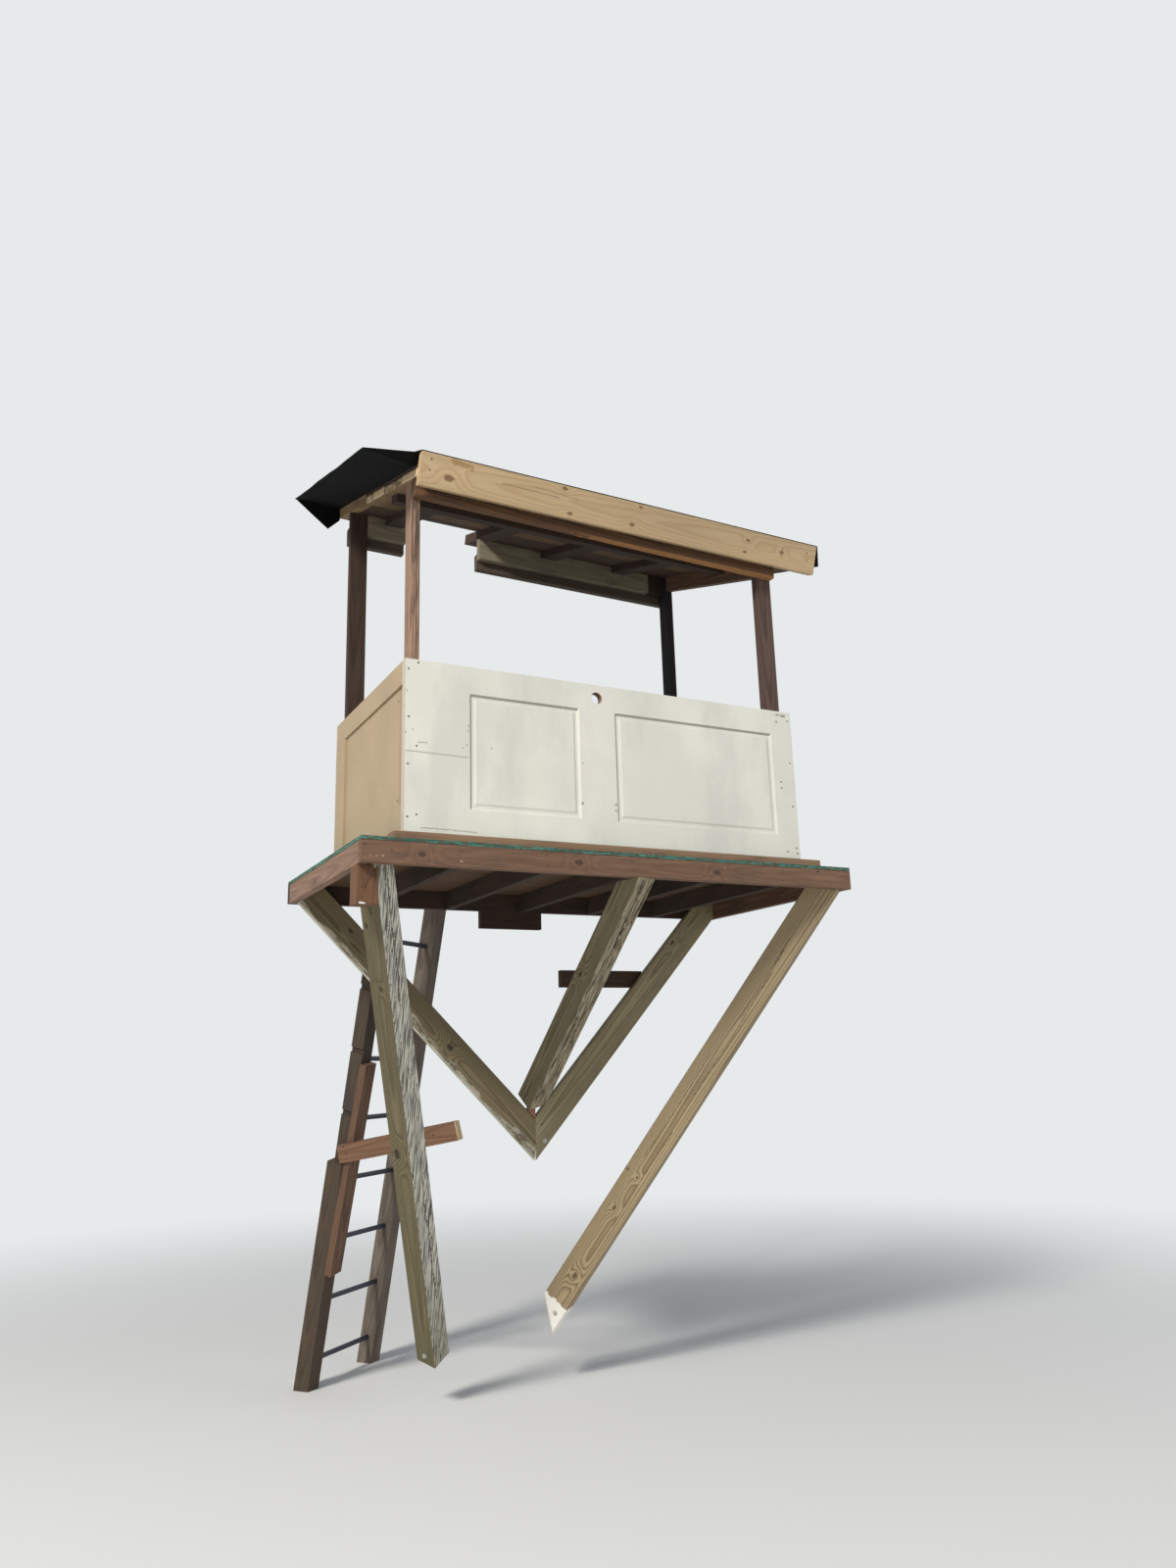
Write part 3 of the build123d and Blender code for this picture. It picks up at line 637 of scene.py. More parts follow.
# %% Marks at chosen places
def how_near(tree, place, start, end):
    """How far a place is from a point, or from a segment between two points."""
    way = Vector(end) - Vector(start)
    if way.length < 1e-6:
        return vec(tree, "DISTANCE", place, start)
    offset = vec(tree, "SUBTRACT", place, start)
    run = vec(tree, "DOT_PRODUCT", offset, way / way.length_squared)
    run = calc(tree, "MULTIPLY", run, 1.0, clamp=True)
    reach = vec(tree, "SCALE", way, scale=run)
    return vec(tree, "LENGTH", vec(tree, "SUBTRACT", offset, reach))


def marked(marks, tint, strength=1.0, ragged=0.0, sink=0.0, fine=300):
    """A layer of marks; each is (start, end, radius), with places in the scene."""
    def layer(tree, place, colour, height):
        spot = object_place(tree)
        if ragged:
            shake = noise(tree, spot, (fine,) * 3, 2, output="Color")
            shake = vec(tree, "SCALE", vec(tree, "SUBTRACT", shake, HALF), scale=ragged)
            spot = vec(tree, "ADD", spot, shake)
        nearest = 10.0
        for start, end, radius in marks:
            far = calc(tree, "DIVIDE", how_near(tree, spot, start, end), radius)
            nearest = calc(tree, "MINIMUM", far, nearest)
        total = ease(tree, nearest, 0.55, 1.0, 1.0, 0.0)
        share = calc(tree, "MULTIPLY", total, strength)
        height = calc(tree, "MULTIPLY_ADD", total, -sink, height)
        return mix(tree, share, colour, paint(*tint)), height
    return layer


def marks_at(place_of, depth, rows):
    """Marks from rows of (x1, z1, x2, z2, radius) on a face at one depth, in millimetres."""
    return [
        (place_of(x1, depth, z1), place_of(x2, depth, z2), radius)
        for x1, z1, x2, z2, radius in rows
    ]


print("marks can be drawn")


# %% [markdown]
# A solid takes its finish by name, together with the way its grain runs, the way its wide
# face looks and a seed of its own. Worn lumber has no sharp edges either, so some solids get
# a Bevel too: it only rounds what is already there, and the shape stays as it was built.

# %% Dress a solid, and wear its edges
def middle_of(name):
    """The middle of a solid's box."""
    low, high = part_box(name)
    return (low + high) / 2


def cover(piece, material):
    """Give a piece one material, in place of any that it has."""
    piece.data.materials.clear()
    piece.data.materials.append(material)


def dress(name, finish, along, wide, seed, **changes):
    """Give a solid its own board material."""
    made = board_material("wood_" + name, finish, along, wide, middle_of(name), seed, **changes)
    cover(NODES[name], made)


def soften(name, width=0.0016):
    """Wear a solid's sharp edges round: weld its corners, then bevel them."""
    weld = NODES[name].modifiers.new("weld", "WELD")
    weld.merge_threshold = 1e-5
    bevel = NODES[name].modifiers.new("worn edges", "BEVEL")
    bevel.width, bevel.segments = width, 2
    bevel.limit_method, bevel.angle_limit = "ANGLE", math.radians(40)


print("solids can be dressed")


# %% [markdown]
# Now the boards of the deck. The rim, the joists and the sole plate are two-by-fours, and
# each gets a material along its own direction. Knots are put where the real boards show them,
# and so are the pale chips where the stain was knocked off.

# %% Wood for the deck
PALE_CHIPS = marks_at(deck_place, 0, [
    (39, -78, 39, -78, 0.004), (62, -79, 65, -79, 0.004), (86, -78, 92, -78, 0.004),
    (413, -82, 421, -82, 0.004), (417, -40, 417, -40, 0.004), (1705, -38, 1705, -38, 0.004),
])
dress("rim_front", "stain", X, -Y, 1.0, knots=[
    (deck_place(250, 0, -63), 0.012, "wide"), (deck_place(952, 0, -56), 0.013, "wide"),
    (deck_place(1659, 0, -64), 0.014, "wide"), (deck_place(2240, 0, -30), 0.006, "wide"),
], layers=[marked(PALE_CHIPS, (0.40, 0.32, 0.27), 0.8, 0.003)],
    early=(0.185, 0.100, 0.058), late=(0.110, 0.054, 0.030), contrast=0.42, plug=0.62)
dress("rim_left", "stain", Y, -X, 2.0,
      early=(0.28, 0.168, 0.112), late=(0.15, 0.080, 0.052), contrast=0.55)
dress("rim_right", "stain", Y, X, 3.0)
dress("rim_back", "dark stain in painted shade", X, Y, 4.0)
dress("joists", "dark stain in painted shade", Y, X, 5.0)
dress("trunk_cleat", "dark stain in painted shade", X, Y, 6.0)
dress("sole_plate", "worn stain", X, Z, 7.0, early=(0.37, 0.22, 0.125), late=(0.14, 0.072, 0.045))
dress("tie_board", "dark stain in painted shade", X, Y, 8.0, early=(0.073, 0.040, 0.022))
WHITE_CHIP = marks_at(deck_place, 50, [(16, -259, 32, -262, 0.007)])
dress("corner_block", "stain", Z, -Y, 9.0, early=(0.170, 0.080, 0.034), contrast=0.45,
      layers=[marked(WHITE_CHIP, (0.85, 0.83, 0.80), 0.95, 0.004)])
dress("crotch_block", "stain", (-0.7, 0, 0.7), -Y, 10.0, early=(0.28, 0.13, 0.075))
for name in (
    "sole_plate", "corner_block", "rim_front", "rim_left", "rim_right", "rim_back", "tie_board"
):
    soften(name)
print("the deck's lumber is stained, and its edges worn")


# %% [markdown]
# The four posts were stained by hand and have faded apart: the one at the front left is bleached
# and streaked with dark runs of water. The two at the back are darkened as painted shade, for the
# roof's shade that falls on them, so the one at the back right is almost black. The header's
# underside is painted paler, as painted light. Each of these is one thin layer over the same wood,
# which leaves the rings and the fibres showing through.

# %% Wood for the posts and the roof
def run_down(tree, place, colour, height):
    """Dark water streaks down the front of a post, stronger near the top."""
    x, _, z = parts(tree, place)
    stripe = noise(tree, place, (2.4, 150, 0), 3, 0.65)
    worn = calc(tree, "MULTIPLY_ADD", ease(tree, x, -0.4, 0.5), -0.16, 0.62)
    share = ease(tree, calc(tree, "SUBTRACT", stripe, worn), -0.02, 0.06, 0.0, 0.85)
    share = calc(tree, "MULTIPLY", share, ease(tree, z, 0.038, 0.042))
    return mix(tree, share, colour, paint(0.040, 0.027, 0.020)), height


def painted_lit_underside(tree, place, colour, height):
    """Painted light: the header's underside made paler where it faces down."""
    ragged = noise(tree, place, (25, 60, 60), 3)
    line = calc(tree, "MULTIPLY_ADD", ragged, 0.004, parts(tree, place)[1])
    share = ease(tree, line, -0.0425, -0.0405, 0.9, 0.0)
    return mix(tree, share, colour, paint(0.40, 0.185, 0.060)), height


dress("post_front_left", "worn stain", Z, -Y, 11.0, layers=[run_down])
dress("post_front_right", "stain", Z, -Y, 12.0,
      early=(0.104, 0.062, 0.047), late=(0.046, 0.026, 0.020), rough=0.85)
# Painted shade: this post's stain is darkened for the roof's shade that falls on it.
dress("post_back_left", "stain", Z, -Y, 13.0,
      early=(0.052, 0.028, 0.018), late=(0.028, 0.014, 0.009), rough=0.95)
# Painted shade: almost black, for the deep shade under the back of the roof.
dress("post_back_right", "dark stain in painted shade", Z, -Y, 14.0,
      early=(0.014, 0.010, 0.011), late=(0.009, 0.007, 0.008), rough=0.95)
# The header's underside is painted paler, as painted light.
dress("header_front", "stain", EAVE, -Y, 15.0, layers=[painted_lit_underside], early=(0.160, 0.078, 0.033))
dress("rake_right", "stain", SLOPE, X, 16.0)
dress("purlin", "dark stain in painted shade", EAVE, ROOF_UP, 17.0, early=(0.044, 0.023, 0.013), rough=0.95)
dress("rafters", "dark stain in painted shade", SLOPE, ROOF_UP, 18.0, early=(0.044, 0.023, 0.013), rough=0.95)
dress("back_board", "chalky", EAVE, -Y, 19.0)
dress("back_block", "dark stain in painted shade", Z, -Y, 20.0)
dress("back_stretcher", "grey", EAVE, -Y, 21.0)
dress("roof_panel_back", "plywood", EAVE, -ROOF_UP, 24.0)
dress("roof_sheathing", "plywood", EAVE, -ROOF_UP, 25.0)
# The edge strip takes lighter colours of its own over the shaded finish.
dress("roof_edge_strip", "old pine in painted shade", SLOPE, -ROOF_UP, 26.0,
      early=(0.36, 0.235, 0.12), late=(0.22, 0.13, 0.06))
for name in (
    "header_front", "post_front_left", "post_front_right", "post_back_left", "post_back_right"
):
    soften(name)
print("posts and roof frame are stained")


# %% [markdown]
# The fascia is the one new board of the house, a pale two-by-six that takes the eye first. So
# its knots, its resin stain and its drying cracks are measured one by one and put where they
# are, while the rings between them, which are too many for that, are left to the wood group.

# %% The new pine fascia
FASCIA_FACE = -36
FASCIA_KNOTS = [
    (131, 11, 0.016), (726, -20, 0.009), (1052, -4, 0.010), (1088, 85, 0.007), (687, 87, 0.010),
    (1711, 52, 0.009), (1701, -8, 0.008), (1921, 32, 0.009),
]
RESIN = marks_at(roof_place, FASCIA_FACE, [(150, 88, 235, 76, 0.016)])
CRACKS = marks_at(roof_place, FASCIA_FACE, [
    (382, 43, 664, 40, 0.0022), (540, 62, 760, 52, 0.0016), (1925, 60, 1925, 12, 0.0030),
])
dress("fascia", "new pine", EAVE, -SLOPE, 27.0, knots=[
    (roof_place(along, FASCIA_FACE, up), radius, "wide") for along, up, radius in FASCIA_KNOTS
], layers=[
    marked(RESIN, (0.30, 0.18, 0.055), 0.7, 0.05, fine=60),
    marked(CRACKS, (0.14, 0.075, 0.030), 0.75, 0.006, 0.3, fine=60),
])
soften("fascia")
print("fascia:", len(FASCIA_KNOTS), "knots and", len(CRACKS), "cracks")


# %% [markdown]
# The roof's boards are rougher. They run along the eave with a dark seam between them, and at
# the left edge their pale ends show, each one a little further out than the next. Two solids
# stand for four real boards. A texture could draw the seams, but a real gap has real shade in
# it, so the rough wood tree grows each board on its own, and they take the solids' place.

# %% Boards under the roof
ROOF_LENGTH, SEAM = 2134, 3


def pale_end_and_painted_light(tree, place, colour, height):
    """Fresh pale wood on a board's left end, and a paler underside next to it, painted light where
    light reaches under the roof's edge.
    """
    x = parts(tree, place)[0]
    ragged = noise(tree, place, (12, 40, 40), 3)
    # Painted light: the boards near the left edge are made paler.
    near = ease(tree, calc(tree, "MULTIPLY_ADD", ragged, 0.12, x), -1.0, -0.88, 0.45, 0.0)
    colour = mix(tree, near, colour, paint(0.36, 0.235, 0.115))
    end = ease(tree, calc(tree, "MULTIPLY_ADD", ragged, 0.02, x), -1.054, -1.048, 0.9, 0.0)
    return mix(tree, end, colour, paint(0.80, 0.62, 0.36)), height


def roof_board(name, start, end, out, seed, knots):
    """One board across the roof, from start to end up the slope."""
    spots = [(roof_place(along, up, 0), size, "wide") for along, up, size in knots]
    middle = roof_place(ROOF_LENGTH / 2, (start + end) / 2, 19)
    wood = board_material(
        "wood_" + name, "old pine in painted shade", EAVE, -ROOF_UP, middle, seed, knots=spots, layers=[pale_end_and_painted_light]
    )
    size = ((ROOF_LENGTH - out) / 1000, (end - start - SEAM) / 1000, 0.038)
    piece = grow(name, ROUGH_WOOD, {
        "Size": size, "Rounding": 0.0035, "Steps along": 150, "Steps wide": 16,
        "Steps thick": 6, "Wave": 0.0009, "Check side": (0, 0, -1), "Check depth": 0.0012,
        "Check width": 0.02, "Check cover": 0.55, "Seed": seed, "Finish": wood,
    })
    along = (ROOF_LENGTH + out) / 2
    return lay(piece, roof_place(along, (start + end) / 2, 19), EAVE, SLOPE, ROOF_UP)


for node, boards in (
    ("roof_boards_front", [
        ("roof_board_1", 2, 235, 1, 51.0, [(700, 150, 0.012), (1500, 90, 0.010)]),
        ("roof_board_2", 235, 519, 6, 52.0, [(180, 420, 0.009), (1250, 400, 0.014)]),
    ]),
    ("roof_boards_middle", [
        ("roof_board_3", 519, 703, 0, 53.0, [(60, 640, 0.008), (900, 600, 0.012)]),
        ("roof_board_4", 703, 841, 4, 54.0, [(420, 770, 0.010), (1700, 760, 0.011)]),
    ]),
):
    for board in boards:
        belongs(roof_board(*board), node)


# %% [markdown]
# The ladder leans against the back of the deck and also turns to one side, so its grain runs
# along no axis of the scene. Its lean is worked out from where its foot and its top stand,
# and the rails take that as their grain. The board that ties it to the braces crosses in yet
# another direction. It was sawn off after it was stained, so its far end is pale.

# %% Wood for the ladder
LADDER_FOOT, LADDER_TOP = deck_place(352, 1990, -2438), deck_place(453, 1264, -143)
LADDER_TURN = math.radians(40.4)
LEAN = (LADDER_TOP - LADDER_FOOT).normalized()
RUNG_WAY = Vector((math.cos(LADDER_TURN), math.sin(LADDER_TURN), 0))
CROSS_WAY = Vector((0.586, -0.794, 0.160)).normalized()
CROSS_FACE = Vector((-0.779, -0.607, -0.158))
CROSS_TIP = max(
    (vert.co - middle_of("cross_board")).dot(CROSS_WAY)
    for vert in NODES["cross_board"].data.vertices
)


def pale_tip(tree, place, colour, height):
    """Fresh end grain at the end of a board that was cut after it was stained."""
    share = ease(tree, parts(tree, place)[0], CROSS_TIP - 0.006, CROSS_TIP - 0.003, 0.0, 0.9)
    return mix(tree, share, colour, paint(0.62, 0.49, 0.29)), height


dress("ladder_rail_left_lower", "grey", LEAN, -RUNG_WAY, 36.0, early=(0.088, 0.060, 0.037))
dress("ladder_rail_left_upper", "grey", LEAN, -RUNG_WAY, 37.0, early=(0.062, 0.043, 0.028))
# The right rail is painted paler than the left ones, as painted light where the light falls on it.
dress("ladder_rail_right", "grey", LEAN, -RUNG_WAY, 38.0,
      early=(0.185, 0.150, 0.115), late=(0.10, 0.075, 0.055))
dress("ladder_sister", "stain", LEAN, -LEAN.cross(RUNG_WAY), 39.0)
dress("cross_board", "stain", CROSS_WAY, CROSS_FACE, 40.0, layers=[pale_tip],
      early=(0.215, 0.115, 0.062), late=(0.13, 0.062, 0.032))
for name in (
    "ladder_rail_left_lower", "ladder_rail_left_upper", "ladder_rail_right", "ladder_sister",
    "cross_board",
):
    soften(name)
print("cross board's tip:", round(CROSS_TIP, 4), "m from its middle")


# %% [markdown]
# The two leg braces are treated two-by-sixes with bold arching grain. The left one was sawn
# from the outside of a log, so its lower front edge follows the log's round and is missing in
# places. The timber trade calls that wane. It is a change of shape and not of colour, so the
# points near that edge are pressed in along a wandering line, and how far each one moved is
# stored for the material.

# %% Press the wane into a leg
def places_of(mesh):
    """The mesh's points as a table with a row of three numbers each."""
    places = np.empty(len(mesh.vertices) * 3)
    mesh.vertices.foreach_get("co", places)
    return places.reshape(-1, 3)


def press_wane(piece, wide, thick, strength):
    """Round off the lower front edge along a wandering line, and mark it."""
    mesh = piece.data
    places = places_of(mesh)
    x = places[:, 0]
    reach = 0.70 + 0.26 * np.sin(x * 6.1 + 0.8) + 0.22 * np.sin(x * 14.3) + 0.10 * np.sin(x * 41)
    reach = strength * np.clip(reach, 0.05, 1.2)
    over = (places[:, 1] - wide / 2) + (places[:, 2] - thick / 2) * 1.4 + reach
    pressed = np.clip(over, 0, None)
    grit = 1 + 0.25 * np.sin(x * 230 + places[:, 2] * 300)
    places[:, 1] -= pressed * 0.42 * grit
    places[:, 2] -= pressed * 0.30 * grit
    mesh.vertices.foreach_set("co", places.ravel())
    marks = mesh.attributes.new("wane", "FLOAT", "POINT")
    share = np.clip(pressed / 0.004, 0, 1)
    marks.data.foreach_set("value", share.astype(np.float32))


print("wane can be pressed in")


# %% [markdown]
# Where the log's outer skin came away, the wood under it has gone grey. The narrow edge below is
# bleached too, and it is painted paler still, as painted light on a face that looks down. Two
# layers say so, each over the same wood. Then each leg is grown, pressed and laid on its line, and
# a Boolean keeps only what is inside its solid, which gives the exact cuts at both ends.

# %% The leg braces
def bare_wane(tree, place, colour, height):
    """Pale grey wood with dark patches, where the log's skin came away."""
    share = ease(tree, attribute(tree, "wane"), 0.2, 0.7)
    patch = noise(tree, place, (12, 60, 60), 3, 0.6)
    dark, pale = paint(0.16, 0.125, 0.075), paint(0.42, 0.40, 0.31)
    skin = mix(tree, ease(tree, patch, 0.40, 0.58), dark, pale)
    return mix(tree, share, colour, skin), calc(tree, "MULTIPLY_ADD", patch, 0.6, height)


def bleached_edge_painted_light(tree, place, colour, height):
    """The lower narrow edge, bleached to a pale grey and painted paler still as painted light,
    since it faces down.
    """
    share = ease(tree, parts(tree, place)[1], 0.0635, 0.0675, 0.0, 0.92)
    streak = noise(tree, place, (5, 60, 120), 3, 0.6)
    # Painted light: both greys are made paler for the down-facing edge.
    dull, pale = paint(0.48, 0.44, 0.32), paint(0.80, 0.76, 0.62)
    bleached = mix(tree, ease(tree, streak, 0.35, 0.65), dull, pale)
    return mix(tree, share, colour, bleached), height


LEG_TIP = deck_place(1258, 1143, -1352)


def leg_brace(side, top, seed, strength, knots, layers, **looks):
    """One leg: grown along X, pressed, laid in its plane and cut by the CAD solid."""
    node = "leg_brace_" + side
    way = (deck_place(top, 1143, -106) - LEG_TIP).normalized()
    ahead = (-Y).cross(way)
    upward = ahead if ahead.z > 0 else -ahead
    middle = LEG_TIP + way * 0.90 + upward * 0.070 + Y * 0.019
    spots = [(deck_place(x, 1143, z), size, "wide") for x, z, size in knots]
    wood = board_material(
        "wood_" + node, "treated", way, -Y, middle, seed, knots=spots, layers=layers, **looks
    )
    piece = grow(node + "_wood", ROUGH_WOOD, {
        "Size": (2.1, 0.1392, 0.0374), "Rounding": 0.004, "Steps along": 230,
        "Steps wide": 30, "Steps thick": 12, "Wave": 0.0002, "Check depth": 0.0012,
        "Check width": 0.02, "Check cover": 0.55, "Seed": seed, "Finish": wood,
    })
    press_wane(piece, 0.139, 0.037, strength)
    lay(piece, middle, way, ahead, -Y)
    saw(piece, [solid_copy(node)], "INTERSECT")
    return belongs(piece, node)


leg_brace("left", 38, 31.0, 0.038, [(802, -793, 0.013), (290, -234, 0.009)],
          [bare_wane, bleached_edge_painted_light], pith=(0, 0.015, -0.05), lean=(0.003, 0.006),
          contrast=0.75, ring=0.0042, early=(0.245, 0.195, 0.105))
leg_brace("right", 2400, 32.0, 0.0, [(2116, -249, 0.010)],
          [], pith=(0, 0.02, -0.06), lean=(0.003, 0.008),
          contrast=0.75, ring=0.0045, early=(0.330, 0.275, 0.160), late=(0.150, 0.110, 0.052))


# %% [markdown]
# Three long timbers carry the deck. The left and middle ones are old four-by-fours: one face
# is still smooth and olive from its treatment, and the face that gets the weather has gone
# silver and split open. The right one is a younger four-by-six whose foot was dipped in white
# paint. Each stands on a line from the rim to its foot and is turned about that line. A frame
# of three directions says so once, for the shape, the grain, the knots and the bolts alike.

# %% The braces' places
def timber_frame(top, foot, turn):
    """A timber's middle and its directions: along the grain, across and deep."""
    along = (foot - top).normalized()
    across = Matrix.Rotation(math.radians(turn), 3, along) @ along.cross(Z).normalized()
    return (top + foot) / 2, along, across, along.cross(across)


def timber_place(name, x, y, z):
    """A point in millimetres along, across and deep from a timber's middle."""
    middle, along, across, deep = FRAMES[name]
    return middle + (along * x + across * y + deep * z) / 1000


RIM_LEVEL, SHEET_LEVEL = -106, -17
BRACES = {
    "brace_front_left": (deck_place(96, 128, RIM_LEVEL), deck_place(780, 1306, -2212), -59.8),
    "brace_front_right": (deck_place(2342, 111, RIM_LEVEL), deck_place(1399, 1317, -2100), -4.8),
    "brace_middle": (deck_place(1280, 87, RIM_LEVEL), deck_place(1255, 1178, -1060), -15),
}
FRAMES = {name: timber_frame(*line) for name, line in BRACES.items()}
SHEET_CUT, FRONT_CUT, LEFT_CUT, RIGHT_CUT, JOIST_CUT = (
    box_mesh(deck_place(*low), deck_place(*high)) for low, high in (
        ((-500, -500, SHEET_LEVEL), (3000, 1700, 300)),
        ((-500, -500, RIM_LEVEL), (3000, 38, 300)),
        ((-500, -500, RIM_LEVEL), (38, 1700, 300)),
        ((2400, -500, RIM_LEVEL), (3000, 1700, 300)),
        ((1199.5, 0, RIM_LEVEL), (1237.5, 1300, 300)),
    )
)
print("braces:", {n: round((BRACES[n][0] - BRACES[n][1]).length, 3) for n in BRACES})


# %% [markdown]
# The noise gives a timber many fine checks, but the few wide ones that catch the eye have
# places of their own. They are sunk into the mesh along measured paths: each point of the
# face goes down by a bell curve of its distance from the path, and the crack tapers to
# nothing at both ends. The same amount is added to the attribute that darkens the checks.

# %% Split a timber along a path
def split_open(piece, side, path, wide, deep):
    """Sink a drying crack into a face along a path of (along, across) points in millimetres."""
    mesh = piece.data
    places = places_of(mesh)
    axis, sign = ("XYZ".index(side[1]), 1 if side[0] == "+" else -1)
    other = 3 - axis
    runs, offs = np.array(path).T / 1000
    on_face = places[:, axis] * sign > np.abs(places[:, axis]).max() * 0.72
    line = np.interp(places[:, 0], runs, offs)
    inside = (places[:, 0] - runs[0]) * (runs[-1] - places[:, 0])
    taper = np.clip(inside / (0.02 * (runs[-1] - runs[0])), 0, 1)
    wave = 0.0012 * np.sin(places[:, 0] * 160 + runs[0] * 50)
    far = np.abs(places[:, other] - line - wave) / (wide / 1000 * (0.35 + 0.65 * taper))
    open_by = np.exp(-far ** 2) * taper * on_face
    places[:, axis] -= sign * open_by * deep / 1000
    mesh.vertices.foreach_set("co", places.ravel())
    marks = mesh.attributes["check"].data
    old = np.empty(len(marks), dtype=np.float32)
    marks.foreach_get("value", old)
    marks.foreach_set("value", np.maximum(old, open_by).astype(np.float32))


print("timbers can be split")


# %% [markdown]
# The weathered face needs its own colour over the board's. A layer is a small function that
# takes the colour and height so far and gives them back changed, so a board's material can
# wear as many layers as its story asks for. The attribute that the tree stored drives the
# darkest one: the inside of every check.

# %% Layers for the braces' materials
def dark_checks(tree, place, colour, height):
    """Dirt and shade inside the checks."""
    depth = ease(tree, attribute(tree, "check"), 0.25, 0.8)
    return mix(tree, depth, colour, paint(0.030, 0.025, 0.018)), height


def silvered(pale, dull, damp, fine, slant=0.0):
    """Grey ridges on the deep side, with dark gaps, going green towards the foot."""
    def layer(tree, place, colour, height):
        x, y, z = parts(tree, place)
        side = calc(tree, "SUBTRACT", z, calc(tree, "ABSOLUTE", y))
        share = ease(tree, side, -0.004, 0.003)
        drift = joined(tree, y=calc(tree, "MULTIPLY", x, slant))
        slanted = vec(tree, "ADD", place, drift)
        hair = noise(tree, slanted, (14, 320, 320), 3, 0.65)
        ridge = noise(tree, slanted, (9, 130, 130), 2, 0.5)
        grey = mix(tree, ease(tree, hair, 0.38, 0.66), paint(*dull), paint(*pale))
        gap = ease(tree, ridge, 0.42, 0.54, fine, 0.0)
        grey = mix(tree, gap, grey, paint(*[0.25 * c for c in dull]))
        moss = noise(tree, place, (5, 30, 30), 3)
        low = ease(tree, calc(tree, "MULTIPLY_ADD", moss, 0.9, x), 1.15, 1.6)
        grey = mix(tree, calc(tree, "MULTIPLY", low, damp), grey, paint(0.17, 0.165, 0.085))
        height = calc(tree, "MULTIPLY_ADD", hair, 0.7, height)
        height = calc(tree, "MULTIPLY_ADD", gap, -2.0, height)
        return mix(tree, share, colour, grey), height
    return layer


def white_dip(tree, place, colour, height):
    """The foot that stood in a pot of white paint, with a ragged upper edge."""
    run = noise(tree, place, (0, 34, 34), 3)
    line = calc(tree, "MULTIPLY_ADD", run, -0.045, parts(tree, place)[0])
    fleck = noise(tree, place, (60, 160, 160), 3)
    dip = ease(tree, calc(tree, "MULTIPLY_ADD", fleck, 0.008, line), 1.145, 1.150)
    return mix(tree, dip, colour, paint(0.98, 0.95, 0.86)), height


def greened(tree, place, colour, height):
    """Green algae in soft clouds, stronger near the foot."""
    cloud = noise(tree, place, (2.2, 16, 16), 4)
    cloud = calc(tree, "MULTIPLY_ADD", parts(tree, place)[0], 0.06, cloud)
    share = ease(tree, cloud, 0.5, 0.72, 0.0, 0.45)
    return mix(tree, share, colour, paint(0.105, 0.105, 0.035)), height


print("the braces' layers are ready")


# %% [markdown]
# Now each brace in four moves: choose its wood, grow it a little too long, split it, and lay
# it on its line. What is too long is then sawn off against its neighbours: the rim, the deck
# sheet, a joist and the legs. That is how the real ones were fitted, and it leaves no gap.

# %% The left brace
def raise_timber(name, section, past, splits, values):
    """One long timber: grown along X, split, and laid on its line."""
    top, foot, _ = BRACES[name]
    size = ((foot - top).length + sum(past), *section)
    piece = grow(name + "_timber", ROUGH_WOOD, {"Size": size, **values})
    piece.data.transform(Matrix.Translation(((past[1] - past[0]) / 2, 0, 0)))
    for side, path, wide, depth in splits:
        split_open(piece, side, path, wide, depth)
    return lay(piece, *FRAMES[name])


def wood_of(name, finish, seed, knots, layers, **changes):
    """A brace's own board material, with knots given from its middle in millimetres."""
    middle, along, _, deep = FRAMES[name]
    spots = [(timber_place(name, *spot), size, way) for spot, size, way in knots]
    return board_material(
        "wood_" + name, finish, along, deep, middle, seed, knots=spots, layers=layers, **changes
    )


# The left brace's silver grey is real weathering, made paler still as painted light on its
# weathered face.
left_wood = wood_of("brace_front_left", "treated", 33.0, [
    ((-1017, -55, -33), 0.010, "edge"), ((-736, -55, 5), 0.007, "edge"),
    ((83, -55, -19), 0.017, "edge"), ((633, 7, 55), 0.007, "wide"),
], [greened, silvered((0.88, 0.86, 0.75), (0.60, 0.57, 0.47), 0.4, 0.95, 0.28), dark_checks],
    pith=(0, 0.02, 0.005), lean=(0.006, 0.004), early=(0.180, 0.146, 0.075),
    late=(0.082, 0.060, 0.026), ring=0.0060, contrast=0.75, dirty=0.6)
left_brace = raise_timber("brace_front_left", (0.110, 0.110), (0.17, 0), [
    ("+Z", [(-1250, 12), (-1000, 2), (-800, 8), (-640, -6)], 2.5, 7),
    ("+Z", [(199, 14), (418, -1), (504, 13), (700, 6), (900, 12)], 3, 8),
], {
    "Steps along": 260, "Steps wide": 52, "Steps thick": 40, "Check depth": 0.004,
    "Check cells": (6, 70, 70), "Check width": 0.035, "Check cover": 0.52, "Check slant": 0.28,
    "Seed": 1.0, "Finish": left_wood,
})
saw(left_brace, [SHEET_CUT, FRONT_CUT, LEFT_CUT])
belongs(left_brace, "brace_front_left")


# %% [markdown]
# The middle brace is the worst weathered: its front is crossed by a chain of wide cracks, each
# a little to one side of the last. So it gets a finer mesh across, and seven paths.

